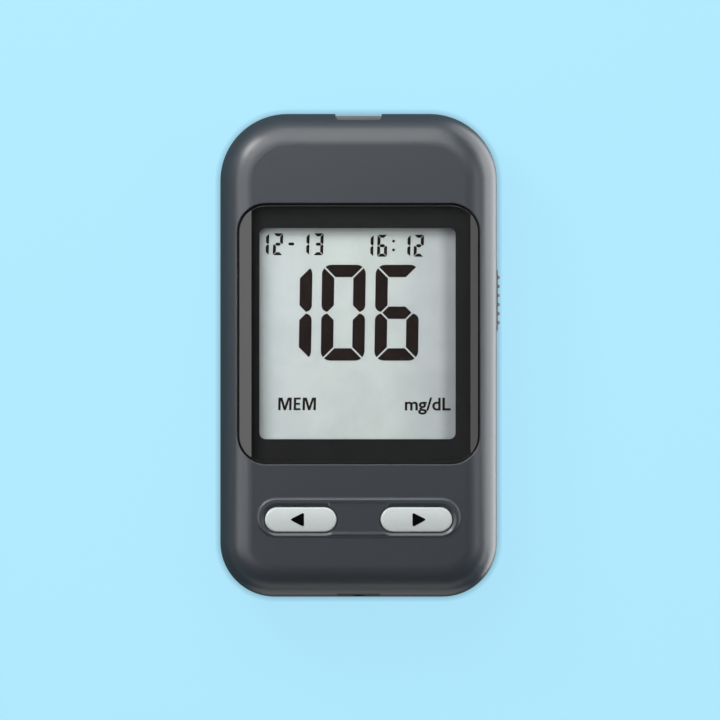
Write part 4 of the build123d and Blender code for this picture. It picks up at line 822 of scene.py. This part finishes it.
def memory_word():
    """The word for a stored reading, in plain upright strokes; its letters are in millimetres."""
    height, stem = LETTER_HEIGHT / MM, 0.45
    # The M's middle, the height at which its slanting strokes leave the stems, half the width of
    # the point they meet in, the width of its shoulders and the height of the valley between them
    middle, fork, point, shoulder, valley = 1.25, 1.87, 0.2, 0.75, 0.75
    left_half = [(0, height), (0, 0), (stem, 0), (stem, fork), (middle - point, 0)]
    right_half = [(2 * middle - x, y) for x, y in left_half[::-1]]
    head = [(2 * middle - shoulder, height), (middle, valley), (shoulder, height)]
    m_outline = [*left_half, *right_half, *head]

    long_arm, short_arm, arm_height, waist = 1.29, 1.17, 0.37, 1.02
    e_outline = [
        (0, 0),
        (long_arm, 0),
        (long_arm, arm_height),
        (stem, arm_height),
        (stem, waist),
        (short_arm, waist),
        (short_arm, waist + arm_height),
        (stem, waist + arm_height),
        (stem, height - arm_height),
        (long_arm, height - arm_height),
        (long_arm, height),
        (0, height),
    ]
    letters = zip((m_outline, e_outline, m_outline), MEMORY_LEFTS)
    plate_on_film("memory_word", [leaning(outline, left) for outline, left in letters])


def unit_word():
    """The reading's unit, set in the plain built-in face and fitted to its place."""
    curve = bpy.data.curves.new("unit_word_line", "FONT")
    curve.body = "mg/dL"
    curve.offset = 0.02  # thickens the strokes
    curve.extrude = 0.1
    mesh = mesh_of_curve(curve)
    corners = [v.co.copy() for v in mesh.vertices]
    low = Vector([min(c[i] for c in corners) for i in range(3)])
    high = Vector([max(c[i] for c in corners) for i in range(3)])
    for v in mesh.vertices:
        v.co.x = UNIT_LEFT + (v.co.x - low.x) / (high.x - low.x) * UNIT_WIDTH
        v.co.y = UNIT_BASELINE + v.co.y / high.y * LETTER_HEIGHT
        v.co.z = FILM_TOP + (v.co.z - low.z) / (high.z - low.z) * SEGMENT_THICKNESS
    add_piece("unit_word", mesh, "case", "ink")


# ---------------------------------------------------------------- print on buttons, lens and label

PRINT_THICKNESS = 0.01 * MM
ARROW_HALF_HEIGHT, ARROW_CORNER = 1.37 * MM, 0.3 * MM
LENS_PRINT_THICKNESS = 0.015 * MM
UPRIGHT, LEVEL = 0.2, 0.995  # upward part of a face's normal: the lens's print lies in between


def rounded_triangle(tip, back, half_height, radius, steps=6):
    """Outline of an arrow head from its tip to its back edge, with rounded corners."""
    corners = [
        Vector(tip),
        Vector((back, tip[1] + half_height)),
        Vector((back, tip[1] - half_height)),
    ]
    outline = []
    for i, corner in enumerate(corners):
        before = (corners[i - 1] - corner).normalized()
        after = (corners[(i + 1) % 3] - corner).normalized()
        reach = radius / math.tan(before.angle(after) / 2)
        start, end = corner + before * reach, corner + after * reach
        for k in range(steps + 1):
            t = k / steps
            outline.append((1 - t) ** 2 * start + 2 * t * (1 - t) * corner + t**2 * end)
    return outline


def button_arrows():
    """A printed arrow on each button, pointing outwards."""
    for side, box, tip_x, back_x in (
        ("left", LEFT_CAP, -12.98 * MM, -10.25 * MM),
        ("right", RIGHT_CAP, 12.82 * MM, 10.12 * MM),
    ):
        tip = (tip_x, (box[0].y + box[1].y) / 2)
        plate_of(
            f"{side}_arrow",
            [rounded_triangle(tip, back_x, ARROW_HALF_HEIGHT, ARROW_CORNER)],
            box[1].z - PRINT_THICKNESS / 2,
            PRINT_THICKNESS,
            f"{side}_button",
            "arrow",
        )


def lens_print():
    """Black print on the lens's side facets and rounded edge."""
    work = bmesh.new()
    work.from_mesh(NODES["display_lens"].data)
    bmesh.ops.remove_doubles(work, verts=work.verts, dist=WELD_DISTANCE)
    bare = [face for face in work.faces if not UPRIGHT < face.normal.z < LEVEL]
    bmesh.ops.delete(work, geom=bare, context="FACES")
    raise_faces(work, list(work.faces), LENS_PRINT_THICKNESS)
    bmesh.ops.recalc_face_normals(work, faces=work.faces)
    work.verts.index_update()
    corners = [vert.co.copy() for vert in work.verts]
    faces = [[vert.index for vert in face.verts] for face in work.faces]
    work.free()
    # Built anew from its corners, the print has flat faces and none of the lens's stored normals
    mesh = bpy.data.meshes.new("lens_print")
    mesh.from_pydata(corners, [], faces)
    add_piece("lens_print", mesh, "case", "lens_print")


def bar(low_x, low_y, high_x, high_y):
    """Outline of one printed bar."""
    return [(low_x, low_y), (high_x, low_y), (high_x, high_y), (low_x, high_y)]


def bars_between(low_x, high_x, low_y, high_y, stroke):
    """Outlines of four bars that make a rectangular frame, butted at the corners."""
    foot, head = low_y + stroke, high_y - stroke
    return [
        bar(low_x, low_y, high_x, foot),
        bar(low_x, head, high_x, high_y),
        bar(low_x, foot, low_x + stroke, head),
        bar(high_x - stroke, foot, high_x, head),
    ]


def label_print():
    """Printed border and empty fields on the rear label."""
    border, field, margin, gap = 0.25 * MM, 0.15 * MM, 1.6 * MM, 1.2 * MM
    lower_share, left_share = 0.55, 0.6
    left, right = LABEL_LOW.x + margin, LABEL_HIGH.x - margin
    foot, head = LABEL_LOW.y + margin, LABEL_HIGH.y - margin
    middle = foot + lower_share * (head - foot)
    split = left + left_share * (right - left)
    outlines = [
        *bars_between(left, right, foot, head, border),
        *bars_between(left + gap, right - gap, middle + gap / 2, head - gap, field),
        *bars_between(left + gap, split - gap / 2, foot + gap, middle - gap / 2, field),
        *bars_between(split + gap / 2, right - gap, foot + gap, middle - gap / 2, field),
    ]
    bottom = LABEL_LOW.z - PRINT_THICKNESS
    plate_of("label_print", outlines, bottom, PRINT_THICKNESS, "case", "ink")


# ---------------------------------------------------------------- adhesive that paints the groove's shade, and spring

LENS_CORNER = 5.1 * MM
BEAD_INNER, BEAD_OUTER = 0.02 * MM, 0.33 * MM  # from the lens's edge
BEAD_RISE = 0.2 * MM  # above the gasket


def groove_shade_bead():
    """Black adhesive at the foot of the groove round the lens, laid there as painted shade for the
    groove.
    """
    low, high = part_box("display_lens")
    seat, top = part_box("lens_gasket")[0].z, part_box("lens_gasket")[1].z + BEAD_RISE
    centre = (low + high) / 2
    loops = []
    for margin in (BEAD_INNER, BEAD_OUTER):
        radius = LENS_CORNER + margin
        reach_x = (high.x - low.x) / 2 + margin
        reach_y = (high.y - low.y) / 2 + margin
        corner = Vector((centre.x - reach_x, centre.y))
        outline = rounded_box(2 * reach_x, -reach_y, reach_y, radius, radius)
        loops.append([point + corner for point in outline])
    inner, outer = loops
    work = bmesh.new()
    rings = [
        [work.verts.new((p.x, p.y, height)) for p in loop]
        for loop, height in ((inner, seat), (outer, seat), (outer, top), (inner, top))
    ]
    for here, there in zip(rings, [*rings[1:], rings[0]]):
        for i, corner in enumerate(here):
            work.faces.new((here[i - 1], corner, there[i], there[i - 1]))
    add_piece("groove_shade_bead", mesh_from("groove_shade_bead", work), "case", "gasket")


def ejector_coil():
    """Wire coil of the ejector's return spring, closed at both ends.

    On the meter the spring shortens as the knob slides; this coil fills the spring's box at one
    length.
    """
    low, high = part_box("ejector_spring")
    centre = (low + high) / 2
    wire_radius = 0.14 * MM
    coil_radius = (high.x - low.x) / 2 - wire_radius
    turns, closed_turns, steps = 7, 1, 26
    reach = high.y - low.y - 2 * wire_radius
    closed_pitch = 2.05 * wire_radius  # so that these turns all but touch
    closed_rise = closed_pitch * closed_turns
    curve = bpy.data.curves.new("ejector_coil_line", "CURVE")
    curve.dimensions = "3D"
    curve.bevel_depth = wire_radius
    curve.bevel_resolution = 3
    curve.use_fill_caps = True
    line = curve.splines.new("POLY")
    line.points.add(turns * steps)
    for i, point in enumerate(line.points):
        turn = i / steps
        if turn < closed_turns:
            rise = closed_rise * turn / closed_turns
        elif turn > turns - closed_turns:
            rise = reach - closed_rise * (turns - turn) / closed_turns
        else:
            share = (turn - closed_turns) / (turns - 2 * closed_turns)
            rise = closed_rise + (reach - 2 * closed_rise) * share
        angle = 2 * math.pi * turn
        point.co = (
            centre.x + coil_radius * math.cos(angle),
            low.y + wire_radius + rise,
            centre.z + coil_radius * math.sin(angle),
            1.0,
        )
    mesh = mesh_of_curve(curve)
    for face in mesh.polygons:
        face.use_smooth = True
    coil = add_piece("ejector_coil", mesh, "case", "spring")
    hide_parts("ejector_spring")
    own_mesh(coil)


# ---------------------------------------------------------------- table, lamps and camera


def table_finish():
    """Pale blue table that keeps a soft shadow and is open from below."""
    material, tree, shader = blank_material("table_top")
    tree.nodes.remove(shader)
    path = put(tree, "ShaderNodeLightPath").outputs
    mirrored = calculate(tree, "MULTIPLY", path["Is Glossy Ray"], MIRRORED_GLOW)
    seen = calculate(tree, "MAXIMUM", path["Is Camera Ray"], mirrored)
    seen = calculate(tree, "MAXIMUM", seen, path["Is Transmission Ray"])
    openness = put(
        tree,
        "ShaderNodeAmbientOcclusion",
        {"samples": 16},
        {"Distance": CONTACT_REACH, "Normal": CONTACT_SIDE},
    ).outputs["AO"]
    shade = remap(tree, openness, CONTACT_FULL, 1.0, CONTACT_SHADE * TABLE_GLOW, TABLE_GLOW)
    glow = put(
        tree,
        "ShaderNodeEmission",
        None,
        {"Color": rgba(TABLE_COLOUR), "Strength": calculate(tree, "MULTIPLY", seen, shade)},
    )
    lit_colour = rgba(TABLE_COLOUR, 1 - TABLE_GLOW)
    lit = put(tree, "ShaderNodeBsdfDiffuse", None, {"Color": lit_colour})
    both = put(tree, "ShaderNodeAddShader", None, {0: glow.outputs[0], 1: lit.outputs[0]})
    open_below = put(tree, "ShaderNodeBsdfTransparent")
    below = put(tree, "ShaderNodeNewGeometry").outputs["Backfacing"]
    through = calculate(tree, "MAXIMUM", below, path["Is Shadow Ray"])
    top = blend(tree, through, both, open_below)
    tree.links.new(top, tree.nodes["Material Output"].inputs["Surface"])
    return material


def lay_table():
    """Flat table just under the meter."""
    half = TABLE_SIZE / 2
    corners = [(-half, -half), (half, -half), (half, half), (-half, half)]
    mesh = bpy.data.meshes.new("table_top")
    mesh.from_pydata([(x, y, -TABLE_DROP) for x, y in corners], [], [(0, 1, 2, 3)])
    mesh.materials.append(table_finish())
    table = bpy.data.objects.new("table_top", mesh)
    SCENE.collection.objects.link(table)


def light_room():
    """Dim room, dark below the horizon.

    The camera sees the backdrop all round, and shiny parts see it low down.
    """
    world = bpy.data.worlds.new("studio")
    SCENE.world = world
    world.use_nodes = True
    tree = world.node_tree
    tree.nodes.clear()
    direction = put(tree, "ShaderNodeTexCoord").outputs["Generated"]
    height = put(tree, "ShaderNodeSeparateXYZ", None, {"Vector": direction}).outputs["Z"]
    above = calculate(tree, "GREATER_THAN", height, 0.0)
    dim = remap(tree, height, 0.0, 1.0, ROOM_AT_HORIZON, ROOM_OVERHEAD)
    level = calculate(tree, "MULTIPLY", dim, above)
    room = put(tree, "ShaderNodeBackground", None, {"Color": (1, 1, 1, 1), "Strength": level})
    backdrop = put(
        tree, "ShaderNodeBackground", None, {"Color": rgba(TABLE_COLOUR), "Strength": 1.0}
    )
    path = put(tree, "ShaderNodeLightPath").outputs
    mirrored = calculate(tree, "MAXIMUM", path["Is Glossy Ray"], path["Is Transmission Ray"])
    fade = remap(tree, height, BACKDROP_LOW, BACKDROP_HIGH, 1.0, 0.0)
    low_down = calculate(tree, "MULTIPLY", mirrored, fade)
    seen = calculate(tree, "MAXIMUM", path["Is Camera Ray"], low_down)
    put(tree, "ShaderNodeOutputWorld", None, {"Surface": blend(tree, seen, room, backdrop)})


def hang_lamp(name, place, aim, size, radiance, colour=(1, 1, 1)):
    """Rectangular soft box at place (mm), facing aim (mm); radiance is how bright its face is."""
    width, height = (s * MM for s in size)
    data = bpy.data.lights.new(name, "AREA")
    data.shape = "RECTANGLE"
    data.size, data.size_y = width, height
    data.color = colour
    data.energy = radiance * math.pi * width * height
    lamp = bpy.data.objects.new(name, data)
    lamp.location = Vector(place) * MM
    lamp.rotation_mode = "QUATERNION"
    lamp.rotation_quaternion = (Vector(aim) - Vector(place)).to_track_quat("-Z", "Y")
    lamp.visible_camera = False
    SCENE.collection.objects.link(lamp)


def around(bearing, lean, distance=LAMP_DISTANCE):
    """Place (mm) at a bearing from the meter's right side and a lean from upright, in degrees."""
    turn, tilt = math.radians(bearing), math.radians(lean)
    return (
        distance * math.sin(tilt) * math.cos(turn),
        distance * math.sin(tilt) * math.sin(turn),
        WIDEST_LINE / MM + distance * math.cos(tilt),
    )


def light_meter():
    """Soft boxes round the meter, brightest beyond its upper left corner and low at its right.

    Two more lie level with the table and face up, and one lights the rear from below. Each has a
    name, a place, what it faces, its size and its brightness.
    """
    middle = (0, 0, WIDEST_LINE / MM)
    hang_lamp("near_box", (-20, 150, 220), (0, 20, 10), (240, 140), 3.0)
    hang_lamp("upper_box", around(90, 60), middle, (300, 150), 3.15)
    hang_lamp("corner_box", around(135, 58), middle, (130, 130), 19.2)
    hang_lamp("left_box", around(180, 26), middle, (300, 110), 2.9)
    hang_lamp("middle_left_box", around(180, 49), middle, (300, 130), 3.0)
    hang_lamp("right_box", around(0, 46), middle, (300, 150), 1.9)
    hang_lamp("low_right_strip", around(0, 84, 300), middle, (400, 60), 4.0)
    hang_lamp("low_corner_strip", around(35, 85, 300), middle, (400, 60), 3.6)
    hang_lamp("low_foot_strip", around(-90, 82, 400), middle, (400, 90), 1.15, WARM_WHITE)
    hang_lamp("right_table_strip", (96, 24, 0.3), (96, 24, 100), (126, 150), 3.5)
    hang_lamp("foot_table_strip", (0, -86, 0.3), (0, -86, 100), (60, 60), 0.75, WARM_WHITE)
    hang_lamp("under_box", (0, 0, -200), middle, (46, 84), 15.0)


def place_camera():
    """Camera straight above the meter, far enough away for an almost level view."""
    data = bpy.data.cameras.new("camera")
    data.type = "PERSP"
    data.sensor_width = SENSOR_WIDTH
    data.lens = FOCAL_LENGTH
    data.clip_start, data.clip_end = 0.05, 20.0
    distance = VIEW_WIDTH * FOCAL_LENGTH / SENSOR_WIDTH
    camera = bpy.data.objects.new("camera", data)
    camera.location = VIEW_CENTRE + Vector((0, 0, WIDEST_LINE + distance))
    SCENE.collection.objects.link(camera)
    SCENE.camera = camera


SCENE.view_settings.view_transform = "Standard"
place_camera()
lay_table()
light_room()
light_meter()
dress_nodes()
display_figures()
memory_word()
unit_word()
button_arrows()
lens_print()
groove_shade_bead()
ejector_coil()
label_print()
